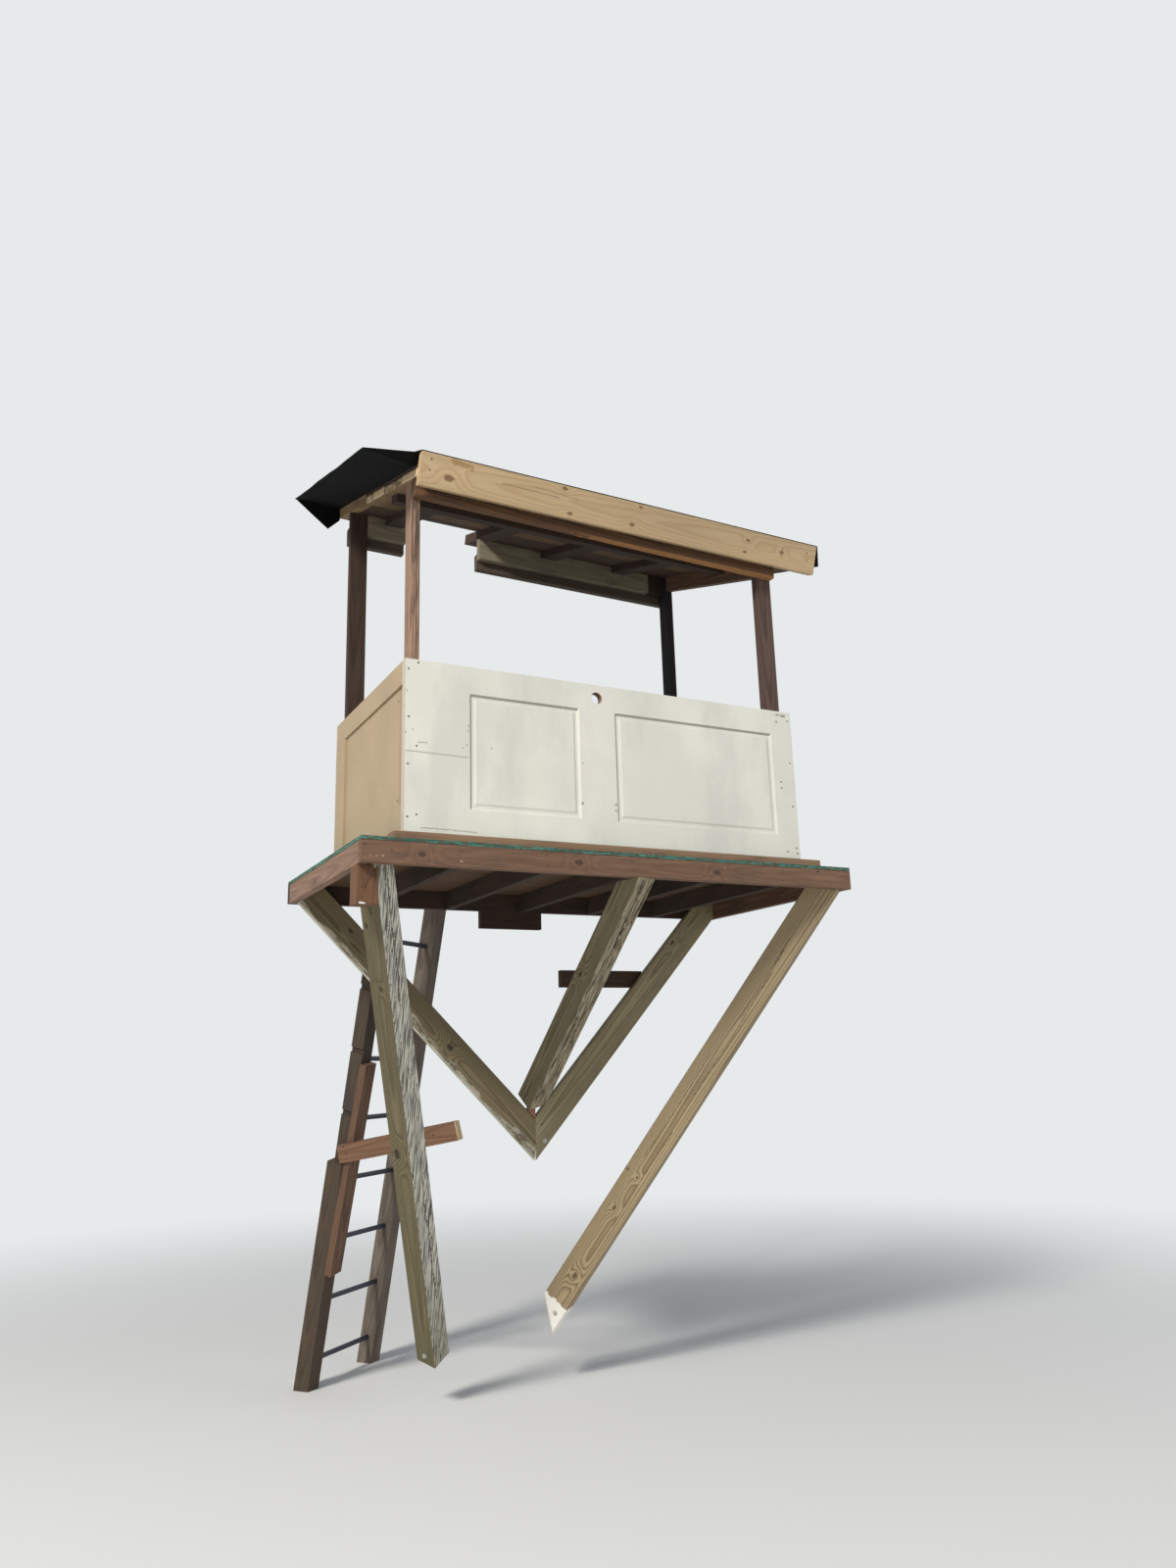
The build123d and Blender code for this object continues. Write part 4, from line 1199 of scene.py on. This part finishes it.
# %% The middle brace
middle_wood = wood_of(
    "brace_middle", "treated", 35.0, [((-148, -55, -18), 0.011, "edge")],
    [silvered((0.50, 0.43, 0.29), (0.30, 0.25, 0.16), 0.0, 0.8, -0.06), dark_checks],
    early=(0.255, 0.215, 0.120), late=(0.125, 0.098, 0.050), pith=(0, 0.03, -0.02),
)
middle_brace = raise_timber("brace_middle", (0.110, 0.110), (0.17, 0), [
    ("+Z", [(-790, -20), (-656, -5), (-571, -9), (-480, -7), (-369, -4)], 5.5, 14),
    ("+Z", [(-760, 40), (-596, 38), (-530, 36), (-482, 6), (-430, -2)], 5, 10),
    ("+Z", [(-400, 2), (-317, -6), (-269, -16), (-148, -24), (-60, -40)], 4.5, 8),
    ("+Z", [(-60, -47), (84, -52), (150, -48)], 2.5, 6),
    ("+Z", [(60, -22), (110, -21), (299, -20), (371, -29), (430, -34)], 5, 14),
    ("+Z", [(-40, 0), (110, 10), (279, 14), (420, 12), (580, 0)], 3, 9),
    ("+Z", [(-330, 22), (-200, 20), (-90, 26), (40, 30)], 2.5, 7),
], {
    "Steps along": 150, "Steps wide": 60, "Steps thick": 36, "Check depth": 0.003,
    "Check width": 0.03, "Check cover": 0.5, "Seed": 2.0, "Finish": middle_wood,
})
legs = [solid_copy("leg_brace_left"), solid_copy("leg_brace_right")]
saw(middle_brace, [SHEET_CUT, FRONT_CUT, JOIST_CUT, *legs])
belongs(middle_brace, "brace_middle")


# %% [markdown]
# The right brace is nearly new: pale, smooth and only finely checked, with a row of knots. Its
# foot is cut off at a slant, through the paint that it was dipped in. A Boolean with a large
# box could do that, but one plane is simpler and leaves one clean face.

# %% The right brace
def saw_off(piece, point, facing):
    """Cut a piece along a plane and close the cut; what lies beyond the plane goes."""
    shape = bmesh.new()
    shape.from_mesh(piece.data)
    every = shape.verts[:] + shape.edges[:] + shape.faces[:]
    cut = bmesh.ops.bisect_plane(
        shape, geom=every, dist=1e-6, plane_co=point, plane_no=facing, clear_outer=True
    )
    rim = [item for item in cut["geom_cut"] if isinstance(item, bmesh.types.BMEdge)]
    bmesh.ops.holes_fill(shape, edges=rim)
    bmesh.ops.triangulate(shape, faces=[face for face in shape.faces if len(face.verts) > 4])
    shape.to_mesh(piece.data)
    shape.free()


right_wood = wood_of("brace_front_right", "pale treated", 34.0, [
    ((1007, -44, 10), 0.012, "edge"), ((612, -44, -7), 0.009, "edge"),
    ((421, -44, 8), 0.006, "edge"), ((416, -44, -53), 0.006, "edge"),
], [dark_checks, white_dip], pith=(0, 0.03, 0.02), lean=(0.003, -0.004), ring=0.0052,
    early=(0.45, 0.345, 0.200), late=(0.19, 0.128, 0.062), contrast=0.85, plug=0.75,
    relief=0.0001)
right_brace = raise_timber("brace_front_right", (0.089, 0.140), (0.17, 0.20), [
    ("-Y", [(-951, 7), (-716, 14), (-500, 10)], 1.6, 4),
    ("-Y", [(-1031, 8), (-959, 3), (-832, 10)], 1.4, 3),
    ("-Y", [(-812, 23), (-691, 21), (-420, 26), (-60, 24)], 1.5, 4),
    ("-Y", [(-300, -18), (60, -12), (330, -20)], 1.4, 3),
    ("-Y", [(120, 34), (420, 30), (700, 36)], 1.3, 3),
], {
    "Steps along": 220, "Steps wide": 30, "Steps thick": 60, "Check depth": 0.0015,
    "Check width": 0.02, "Check cover": 0.95, "Check side": (0, -1, 0), "Seed": 3.0,
    "Rounding": 0.006, "Wave": 0.0002, "Finish": right_wood,
})
saw(right_brace, [SHEET_CUT, FRONT_CUT, RIGHT_CUT])
saw_off(right_brace, deck_place(1391, 1266, -2195), Vector((-0.90, 0.38, -0.20)).normalized())
belongs(right_brace, "brace_front_right")


# %% [markdown]
# The doors, the deck sheet and the roofing aren't bare wood. The front wall is an old panelled
# door in off-white paint, the side walls are tan doors, the deck is a plywood sheet with teal
# paint on its top and edges only, and the rungs are steel. Paint is never one flat colour: a slow
# cloud of noise makes it duller in places, and a fine one across the strokes makes the faint ribs
# that a brush leaves. Wear goes on top, as layers again, and on the white door so does painted
# shadow.

# %% Paint
def painted(name, colour, rough, swing, layers=(), brush=(40, 40, 40)):
    """Old brushed paint with a soft change of tone and layers on top: wear, and on the white door
    painted shadow too.
    """
    material, tree, shader = new_material(name)
    place = object_place(tree)
    cloud = ease(tree, noise(tree, place, (2.2, 2.2, 1.6), 3), 0.35, 0.65)
    fine = noise(tree, place, brush, 3)
    dull = tuple(c * (1 - swing) for c in colour)
    shade = mix(tree, cloud, paint(*colour), paint(*dull))
    from_deck = vec(tree, "SUBTRACT", place, DECK_CORNER)
    for layer in layers:
        shade, fine = layer(tree, from_deck, shade, fine)
    finish_surface(tree, shader, shade, fine, rough, 0.0004)
    return material


print("paint is mixed")


# %% [markdown]
# The white door has lived a long life: something scratched it, screws split off flakes of its
# paint, and its left end was never painted well. Painted shadow lies along the upper and left
# edges of its panel mouldings, where the mouldings are in shade. Inside the hole where its knob
# was, the wood is raw. What covers a whole region comes first, as three layers that are limited by
# a line, by a noise and by a distance; the one limited by a noise is painted shadow in soft
# upright patches.

# %% Layers for the white door
def bare_end(tree, place, colour, height):
    """The door's left end, where the paint is thin and pinkish tan."""
    ragged = noise(tree, place, (200, 200, 120), 3)
    edge = calc(tree, "MULTIPLY_ADD", ragged, -0.006, parts(tree, place)[0])
    share = ease(tree, edge, 0.1848, 0.1856, 0.8, 0.0)
    return mix(tree, share, colour, paint(0.52, 0.41, 0.31)), height


def painted_shadow_patches(tree, place, colour, height):
    """Painted shadow: a grey film in soft upright patches, standing in for shadows cast across the
    door.
    """
    film = noise(tree, place, (5, 5, 1.6), 4, 0.6)
    share = ease(tree, film, 0.42, 0.68, 0.0, 0.35)
    return mix(tree, share, colour, paint(0.50, 0.50, 0.47)), height


KNOB_BORE = deck_place(1088.5, 66, 713)


def raw_bore(tree, place, colour, height):
    """Bare brown wood inside the hole for the knob."""
    offset = vec(tree, "SUBTRACT", object_place(tree), KNOB_BORE)
    reach = vec(tree, "LENGTH", vec(tree, "MULTIPLY", offset, (1, 0, 1)))
    inside = ease(tree, reach, 0.0273, 0.0280, 1.0, 0.0)
    return mix(tree, inside, colour, paint(0.26, 0.13, 0.080)), height


print("the white door's layers are ready")


# %% [markdown]
# Then come the marks at chosen places, sorted by kind, since each kind has its own tint and
# its own raggedness. They are rows of numbers: from (x, z) to (x, z) in millimetres from the
# deck's corner, with a radius in metres. The face, the moulding and the panel of the door lie
# at three depths.

# %% The white door's marks
DOOR_FACE, MOULDING, PANEL = 48, 51, 54
# Painted shadow: dark lines along the upper and left edges of the panel mouldings.
PANEL_SHADOW = marks_at(deck_place, MOULDING, [
    (484, 648, 988, 648, 0.0075), (1189, 648, 2048, 648, 0.0075),
    (479, 152, 479, 648, 0.0045), (1184, 152, 1184, 648, 0.0045),
])
SCRATCHES = marks_at(deck_place, DOOR_FACE, [
    (238, 374, 468, 371, 0.0027), (193, 373, 236, 375, 0.0030), (245, 414, 287, 417, 0.0027),
]) + marks_at(deck_place, PANEL, [
    (738, 488, 865, 191, 0.0024), (530, 533, 545, 500, 0.0033), (556, 520, 560, 492, 0.0030),
    (548, 492, 575, 490, 0.0030), (640, 618, 668, 612, 0.0030),
])
FLAKES = marks_at(deck_place, DOOR_FACE, [(262, 56, 395, 55, 0.003), (395, 55, 504, 51, 0.003)])
CHIPS = marks_at(deck_place, DOOR_FACE, [
    (2098, 757, 2112, 757, 0.006), (2128, 754, 2146, 754, 0.009),
] + [(x, z, x, z, radius) for x, z, radius in (
    (468, 510, 0.005), (468, 488, 0.004), (460, 425, 0.005), (1003, 217, 0.008),
    (1171, 224, 0.007), (1172, 197, 0.006), (196, 634, 0.005), (192, 452, 0.005),
    (222, 468, 0.004), (575, 423, 0.005), (655, 606, 0.004), (442, 410, 0.004),
    (1010, 401, 0.004),
)])
cover(NODES["front_door"], painted("off_white_paint", (0.79, 0.775, 0.685), 0.42, 0.10, [
    # painted shadow in soft upright patches
    painted_shadow_patches,
    # painted shadow in the panel mouldings
    marked(PANEL_SHADOW, (0.16, 0.155, 0.115), 0.62, 0.003),
    marked(SCRATCHES, (0.30, 0.285, 0.24), 0.8, 0.0020, 0.5),
    marked(FLAKES, (0.34, 0.29, 0.22), 0.75, 0.010, 0.5, fine=90),
    marked(CHIPS, (0.20, 0.17, 0.13), 0.8, 0.006, 0.8, fine=150),
    bare_end, raw_bore,
], brush=(9, 9, 160)))
print("white door:", len(PANEL_SHADOW + SCRATCHES + FLAKES + CHIPS), "marks")


# %% [markdown]
# The side walls are two more doors, in tan. Only the left one can be seen well, so the right
# one repeats its finish on its own outer face: the joints of its frame, a few dents in its
# panel, and the strip behind the front door that has gone pink. They could share one material,
# but marks have places in the scene, so one function makes two materials from two depths.

# %% The tan side doors
def tan_wear(tree, place, colour, height):
    """The strip behind the front door gone pink, and a film of dirt."""
    _, y, z = parts(tree, place)
    strip = ease(tree, y, 0.135, 0.155, 0.55, 0.0)
    tall = calc(tree, "MULTIPLY", ease(tree, z, 0.15, 0.17), ease(tree, z, 0.68, 0.69, 1.0, 0.0))
    colour = mix(tree, calc(tree, "MULTIPLY", strip, tall), colour, paint(0.36, 0.21, 0.14))
    film = noise(tree, place, (4, 4, 2), 4, 0.6)
    share = ease(tree, film, 0.45, 0.7, 0.0, 0.4)
    return mix(tree, share, colour, paint(0.36, 0.265, 0.165)), height


def tan_door(name, face, panel):
    """Tan paint with marks on the outer face, whose places are (y, z) in millimetres."""
    joints = [
        (deck_place(face, 946, 671), deck_place(face, 1099, 671), 0.0016),
        (deck_place(face, 946, 131), deck_place(face, 946, 2), 0.0014),
    ]
    dents = [(deck_place(panel, y, z), deck_place(panel, y, z), radius) for y, z, radius in (
        (604, 590, 0.006), (560, 606, 0.004), (690, 580, 0.005), (459, 391, 0.006),
        (361, 305, 0.007), (820, 520, 0.004), (300, 560, 0.004),
    )]
    return painted(name, (0.47, 0.35, 0.205), 0.5, 0.12, [
        tan_wear, marked(joints, (0.16, 0.11, 0.06), 0.7),
        marked(dents, (0.22, 0.16, 0.09), 0.7, 0.006, 0.5, fine=120),
    ], brush=(160, 10, 160))


cover(NODES["side_door_left"], tan_door("tan_paint_left", 187, 196))
cover(NODES["side_door_right"], tan_door("tan_paint_right", 2182, 2173))
print("both tan doors are painted")


# %% [markdown]
# The deck's paint covers only the top and the edges of its plywood, and the edges have lost
# most of it, so dark veneers show through in thin stripes. Its layer is a coat over the
# plywood's own material: where the coat is on, teal, and where it is off, the wood below. The
# steel of the rungs is the same paint function with a dark blue-grey and no wear.

# %% The teal deck sheet and the steel rungs
def teal_coat(tree, place, colour, height):
    """Teal paint on a sheet's top and edges, chipped so that dark wood shows."""
    z = parts(tree, place)[2]
    ragged = noise(tree, place, (70, 70, 70), 3)
    line = calc(tree, "MULTIPLY_ADD", ragged, 0.006, z)
    coat = ease(tree, line, -0.0050, -0.0035)
    flaw = noise(tree, place, (34, 34, 200), 4, 0.75)
    flaw = calc(tree, "SUBTRACT", flaw, ease(tree, z, 0.0079, 0.0083, 0.0, 0.11))
    coat = calc(tree, "MULTIPLY", coat, ease(tree, flaw, 0.50, 0.56, 1.0, 0.05))
    ply = noise(tree, place, (6, 6, 190), 3, 0.6)
    deep, fresh = paint(0.024, 0.090, 0.080), paint(0.075, 0.27, 0.21)
    teal = mix(tree, ease(tree, ply, 0.36, 0.64), deep, fresh)
    return mix(tree, coat, colour, teal), calc(tree, "MULTIPLY_ADD", coat, 0.5, height)


cover(NODES["deck_sheet"], board_material(
    "teal_deck", "plywood", X, Z, middle_of("deck_sheet"), 41.0, layers=[teal_coat],
    early=(0.105, 0.053, 0.022), late=(0.052, 0.024, 0.010),
))
cover(NODES["ladder_rungs"], painted("dark_steel", (0.022, 0.028, 0.052), 0.42, 0.35))
print("deck sheet and rungs are painted")


# %% [markdown]
# Roofing sheet is soft enough to sag where nothing is under it. At the left it reaches a good
# hand past the boards, and there it ripples a little. At the right it is folded down over the
# end of the fascia, and stands off a little at the bottom. Its black is fine mineral grit with
# dust in it, and hardly shines. A flat sheet has no points to bend, so the first helper is a
# layer of grit, and the second cuts a mesh along a row of planes.

# %% Grit, and points to bend
def granules(tree, place, colour, height):
    """Fine mineral grit and dusty patches of roofing sheet."""
    grit = noise(tree, place, (650, 650, 650), 2)
    dust = noise(tree, place, (3, 5, 5), 4, 0.6)
    dusty = ease(tree, dust, 0.35, 0.7, 0.2, 0.7)
    share = calc(tree, "MULTIPLY", ease(tree, grit, 0.52, 0.66), dusty)
    return mix(tree, share, colour, paint(0.016, 0.016, 0.017)), calc(tree, "ADD", grit, height)


def cross_cut(shape, places, way):
    """Divide a mesh along planes square to a direction of the roof."""
    for point in places:
        every = shape.verts[:] + shape.edges[:] + shape.faces[:]
        bmesh.ops.bisect_plane(shape, geom=every, dist=1e-6, plane_co=point, plane_no=way)


print("roofing can be cut into a grid")


# %% [markdown]
# The solid's fold hangs down along the whole side, but the real one only covers the end of the
# fascia, so what is below the boards is sawn off. The sheet is then cut every 20 mm along the
# overhang and every 40 mm up the slope, and two slow waves that die out at the boards lift
# its points. A cloth simulation could let it sag, but it takes long and never stops at a
# chosen shape, while two sine waves give the few millimetres that the real sheet has.

# %% The roofing sheet
OVERHANG = 0.25
FOLD_START, FOLD_TOP = 2.1335, 0.050

sheet = link(bpy.data.objects.new("roofing_sheet", solid_copy("roofing")))
below_boards = box_mesh((FOLD_START, -0.2, -0.4), (2.3, 1.6, 0.004))
roof_ways = Matrix((EAVE, SLOPE, ROOF_UP)).transposed().to_4x4()
below_boards.transform(Matrix.Translation(ROOF_CORNER) @ roof_ways)
saw(sheet, [below_boards])
shape = bmesh.new()
shape.from_mesh(sheet.data)
cross_cut(shape, [roof_place(s, 0, 0) for s in range(-240, 1, 20)], EAVE)
cross_cut(shape, [roof_place(0, t, 0) for t in range(0, 1360, 40)], SLOPE)
for vert in shape.verts:
    s, t = (vert.co - ROOF_CORNER).dot(EAVE), (vert.co - ROOF_CORNER).dot(SLOPE)
    loose = min(1.0, max(0.0, -s / OVERHANG)) ** 1.5
    wave = 0.0018 * math.sin(t * 9.5 + 0.7) + 0.0008 * math.sin(t * 23 + s * 20)
    vert.co += ROOF_UP * (wave * loose) + EAVE * (0.010 * loose * t)
    if s > FOLD_START:
        below_top = FOLD_TOP - (vert.co - ROOF_CORNER).dot(ROOF_UP)
        vert.co += EAVE * (0.5 * max(0.0, below_top))
shape.to_mesh(sheet.data)
shape.free()
BLACK = painted("black_roofing", (0.0065, 0.0065, 0.007), 0.9, 0.3, [granules])
BLACK.node_tree.nodes["Principled BSDF"].inputs["Specular IOR Level"].default_value = 0.15
cover(sheet, BLACK)
belongs(sheet, "roofing")


# %% [markdown]
# What holds it all together is a few dozen screws, nails and bolts. Dark dots in a material
# could stand for them, but a head that stands proud catches the light. Each kind is modelled
# once: a nail's head is a flattened ball, a bolt's is a hexagon on a round washer, and a
# screw's is a low cone with a cross cut into it by a Boolean node. Each has a radius of 1, so
# that its real radius can be its scale.

# %% The heads of screws, nails and bolts
def moved_to(tree, geometry, **values):
    """Geometry moved or scaled."""
    return put(tree, "GeometryNodeTransform", {"Geometry": geometry, **values}).outputs[0]


def head_shape(tree, kind):
    """One head that faces up, with a radius of 1 and its underside sunk below the surface."""
    if kind == "nail":
        ball = put(tree, "GeometryNodeMeshUVSphere", {"Segments": 14, "Rings": 6}).outputs[0]
        return moved_to(tree, ball, Scale=(1, 1, 0.32))
    if kind == "bolt":
        values = {"Vertices": 6, "Radius": 1, "Depth": 0.9}
        hexagon = put(tree, "GeometryNodeMeshCylinder", values).outputs[0]
        values = {"Vertices": 28, "Radius": 1.5, "Depth": 0.36}
        washer = put(tree, "GeometryNodeMeshCylinder", values).outputs[0]
        both = put(tree, "GeometryNodeJoinGeometry", {0: washer})
        tree.links.new(moved_to(tree, hexagon, Translation=(0, 0, 0.55)), both.inputs[0])
        return both.outputs[0]
    values = {"Vertices": 18, "Radius Top": 0.82, "Radius Bottom": 1.0, "Depth": 0.5}
    cone = put(tree, "GeometryNodeMeshCone", values).outputs[0]
    values = {"Mesh 1": moved_to(tree, cone, Translation=(0, 0, -0.2))}
    cut = put(tree, "GeometryNodeMeshBoolean", values, operation="DIFFERENCE", solver="EXACT")
    for size in ((1.15, 0.26, 0.4), (0.26, 1.15, 0.4)):
        bar = put(tree, "GeometryNodeMeshCube", {"Size": size}).outputs[0]
        tree.links.new(moved_to(tree, bar, Translation=(0, 0, 0.3)), cut.inputs["Mesh 2"])
    return cut.outputs[0]


print("three kinds of head can be made")


# %% [markdown]
# Placing dozens of heads by hand would be slow and would look it, so each kind is one tree:
# the mesh's points say where each head goes, and two attributes on the points say which way
# it faces and how big it is. Every head is turned by a seeded random angle, as hand tools
# leave them.

# %% A tree that sets heads on points
def make_heads(kind):
    """A tree that sets a head of one kind on every point."""
    tree, given = start_tree(kind + "_heads", "GeometryNodeTree", [
        ("Geometry", "Geometry"), ("Int", "Seed", 0), ("Material", "Finish"),
    ], [("Geometry", "Geometry")])
    read = "GeometryNodeInputNamedAttribute"
    facing = put(tree, read, {"Name": "facing"}, data_type="FLOAT_VECTOR").outputs[0]
    size = put(tree, read, {"Name": "size"}, data_type="FLOAT").outputs[0]
    aim = put(tree, "FunctionNodeAlignRotationToVector", {"Vector": facing}, axis="Z").outputs[0]
    spin = put(tree, "FunctionNodeRandomValue", {"Seed": given["Seed"]}, data_type="FLOAT")
    around = joined(tree, z=calc(tree, "MULTIPLY", spin.outputs[1], 2 * math.pi))
    twist = put(tree, "FunctionNodeEulerToRotation", {0: around}).outputs[0]
    values = {0: aim, 1: twist}
    turned = put(tree, "FunctionNodeRotateRotation", values, rotation_space="LOCAL").outputs[0]
    heads = put(tree, "GeometryNodeInstanceOnPoints", {
        "Points": given["Geometry"], "Instance": head_shape(tree, kind), "Rotation": turned,
        "Scale": size,
    }).outputs[0]
    end_tree(tree, heads, given["Finish"])
    return tree


HEADS = {kind: make_heads(kind) for kind in ("screw", "nail", "bolt")}


def fasten(name, kind, heads, finish, seed):
    """A piece of many heads; each is (place, facing, radius in metres)."""
    mesh = bpy.data.meshes.new(name)
    mesh.from_pydata([place for place, facing, radius in heads], [], [])
    facing = mesh.attributes.new("facing", "FLOAT_VECTOR", "POINT")
    facing.data.foreach_set("vector", [c for _, way, _ in heads for c in way])
    size = mesh.attributes.new("size", "FLOAT", "POINT")
    size.data.foreach_set("value", [radius for *_, radius in heads])
    return belongs(grow(name, HEADS[kind], {"Seed": seed, "Finish": finish}, mesh))


def at_faces(faces, radius):
    """Heads on several faces; each face is (place function, facing, rows of numbers)."""
    return [(place_of(*row), facing, radius) for place_of, facing, rows in faces for row in rows]


print("head trees:", ", ".join(HEADS))


# %% [markdown]
# Now each fastener goes where the real house has one: two screws in every corner of the doors,
# nails through the rim into the joists, and a bolt with a washer at the foot of each brace.
# They stand a fifth of a millimetre proud of their board, so that no two faces coincide.

# %% Screws, nails and bolts
DARK_SCREW = painted("dark_screw", (0.040, 0.036, 0.034), 0.5, 0.4)
RUSTY = painted("rusty_nail", (0.060, 0.038, 0.028), 0.7, 0.4)
ZINC = painted("zinc_plate", (0.50, 0.49, 0.46), 0.38, 0.3)


def row_at(depth, *rows):
    """Places (x, depth, z) in millimetres on a face that looks to the front."""
    return [(x, depth, z) for x, z in rows]


SIDE_SCREWS = ((128, 180), (133, 610), (1050, 90), (1050, 640))
fasten("door_screws", "screw", at_faces([(deck_place, -Y, row_at(
    47.8, (202, 730), (244, 762), (204, 521), (239, 398), (202, 319), (202, 98), (241, 109),
    (2095, 720), (2162, 730), (2160, 513), (2098, 413), (2099, 384), (2158, 295), (2163, 89),
    (2108, 69), (2166, 63),
))], 0.0042) + at_faces([
    (deck_place, -X, [(186.8, y, z) for y, z in SIDE_SCREWS]),
    (deck_place, X, [(2182.2, y, z) for y, z in SIDE_SCREWS]),
], 0.0038), DARK_SCREW, 1)
fasten("fascia_nails", "nail", at_faces([
    (roof_place, -SLOPE, row_at(-36.2, (45, 75), (42, 28), (2077, 58), (2080, 22))),
], 0.0040), RUSTY, 2)
fasten("deck_nails", "nail", at_faces([(deck_place, -Y, row_at(
    -0.2, (125, -54), (804, -81), (800, -36), (417, -40), (1212, -38), (1215, -80),
    (1622, -40), (1618, -84), (2030, -36), (2032, -82), (15, -36),
)), (deck_place, -X, [
    (-0.2, y, z) for y, z in ((18, -30), (20, -76), (640, -58), (1200, -34), (1200, -78))
]), (deck_place, X, [
    (2438.2, y, z) for y, z in ((18, -30), (20, -76), (1200, -34), (1200, -78))
])], 0.0038) + at_faces([
    (deck_place, -Y, row_at(49.8, (22, -196), (24, -236))),
], 0.0036) + at_faces([
    (deck_place, CROSS_FACE, [(406, 1546, -1290), (711, 1131, -1200), (393, 1554, -1256)]),
], 0.0050), RUSTY, 3)
LEFT, RIGHT = "brace_front_left", "brace_front_right"
fasten("foot_bolts", "bolt", [
    (timber_place(LEFT, 1203, -55, -1), -FRAMES[LEFT][2], 0.0085),
    (timber_place(RIGHT, 1217, -44.5, 29), -FRAMES[RIGHT][2], 0.0075),
    (deck_place(1307, 1143, -1260), -Y, 0.0085),
], ZINC, 4)
fasten("leg_screws", "screw", at_faces([
    (deck_place, -Y, row_at(1142.8, (1173, -1225), (1290, -1180), (96, -142), (2352, -150))),
], 0.0045), DARK_SCREW, 5)


# %% [markdown]
# The tree house stands on a plain pale floor at the height of the ladder's feet. The floor is
# far larger than the picture and fades with distance into the pale tone of the backdrop, so
# there is no horizon. Only what the camera sees fades: for the light that bounces, the whole
# floor is pale and real, and it keeps the shadow.

# %% The floor
FLOOR_LEVEL, FLOOR_SIZE = -2.2875, 400
BACKDROP = paint(0.80, 0.82, 0.83)
shape = bmesh.new()
bmesh.ops.create_grid(shape, x_segments=1, y_segments=1, size=FLOOR_SIZE)
shape.transform(Matrix.Translation((0, 0, FLOOR_LEVEL)))
floor = link(bpy.data.objects.new("studio_floor", as_mesh(shape, "studio_floor")))
floor_paint, tree, shader = new_material("floor_paint")
shader.inputs["Base Color"].default_value = paint(0.93, 0.93, 0.92)
shader.inputs["Roughness"].default_value = 0.95
rays = put(tree, "ShaderNodeLightPath").outputs
glow = put(tree, "ShaderNodeEmission", {"Color": BACKDROP, "Strength": rays["Is Camera Ray"]})
far = ease(tree, vec(tree, "LENGTH", object_place(tree)), 2.6, 9.0)
far = calc(tree, "MULTIPLY", far, rays["Is Camera Ray"])
faded = put(tree, "ShaderNodeMixShader", {0: far, 1: shader.outputs[0], 2: glow.outputs[0]})
tree.links.new(faded.outputs[0], tree.nodes["Material Output"].inputs["Surface"])
floor.data.materials.append(floor_paint)
print("floor at", FLOOR_LEVEL, "m")


# %% [markdown]
# The world does two jobs. It is the soft sky that fills the shadows with a little cool light,
# and it is the pale backdrop that the camera sees, and that steel and glossy paint mirror.
# Light Path tells the two apart, so that the backdrop can be bright without lighting the
# wood.

# %% The world
world = bpy.data.worlds.new("studio")
bpy.context.scene.world = world
world.use_nodes = True
tree = world.node_tree
tree.nodes.clear()
rays = put(tree, "ShaderNodeLightPath").outputs
seen = calc(tree, "MAXIMUM", rays["Is Camera Ray"], rays["Is Transmission Ray"])
seen = calc(tree, "MAXIMUM", seen, rays["Is Glossy Ray"])
sky = put(tree, "ShaderNodeBackground", {"Color": paint(0.80, 0.85, 0.92), "Strength": 0.27})
pale = put(tree, "ShaderNodeBackground", {"Color": BACKDROP, "Strength": 1.0})
both = put(tree, "ShaderNodeMixShader", {0: seen, 1: sky.outputs[0], 2: pale.outputs[0]})
put(tree, "ShaderNodeOutputWorld", {"Surface": both.outputs[0]})
print("sky strength:", sky.inputs["Strength"].default_value)


# %% [markdown]
# One warm square lamp, high at the left, is the key light: it is large enough for soft edges
# and far enough to light the whole height evenly. A faint cool one at the right keeps the
# shaded faces readable. Both aim at the same point, a little in front of the cabin's middle.

# %% Lamps
TARGET = (0, -0.6, 0)


def lamp(name, place, size, power, colour):
    """A soft square lamp that looks at the target."""
    light = bpy.data.lights.new(name, "AREA")
    light.size, light.energy, light.color = size, power, colour
    made = link(bpy.data.objects.new(name, light))
    made.location = place
    made.rotation_euler = (Vector(TARGET) - Vector(place)).to_track_quat("-Z", "Y").to_euler()
    print(name, "lamp:", power, "W, from", place)


lamp("key", (-9.8, -7.2, 8), 2.6, 1720, (1, 0.97, 0.91))
lamp("fill", (6, -9, 2.5), 4.0, 130, (0.93, 0.96, 1))


# %% [markdown]
# The picture is taken from a little below the deck, looking up. The camera's place, its three
# angles and its lens were solved from the deck's corners, so that the solids fall where the
# real pieces do. Its directions are worked out one after another: first where it looks, then
# its level right and up, and last the small roll.

# %% The camera
camera = link(bpy.data.objects.new("camera", bpy.data.cameras.new("camera")))
bpy.context.scene.camera = camera
camera.data.lens = 25.63
camera.data.sensor_width = 36
yaw, pitch, roll = (math.radians(a) for a in (27.99, 14.04, -1.73))
ahead = Vector((math.sin(yaw) * math.cos(pitch), math.cos(yaw) * math.cos(pitch), math.sin(pitch)))
flat_right = Vector((math.cos(yaw), -math.sin(yaw), 0))
flat_up = flat_right.cross(ahead)
right = flat_right * math.cos(roll) + flat_up * math.sin(roll)
up = flat_up * math.cos(roll) - flat_right * math.sin(roll)
turned = Matrix((right, up, -ahead)).transposed().to_4x4()
camera.matrix_world = Matrix.Translation(deck_place(-1213, -4176.5, -889)) @ turned
bpy.context.scene.view_settings.view_transform = "Standard"
print("camera at", [round(c, 3) for c in camera.matrix_world.translation])
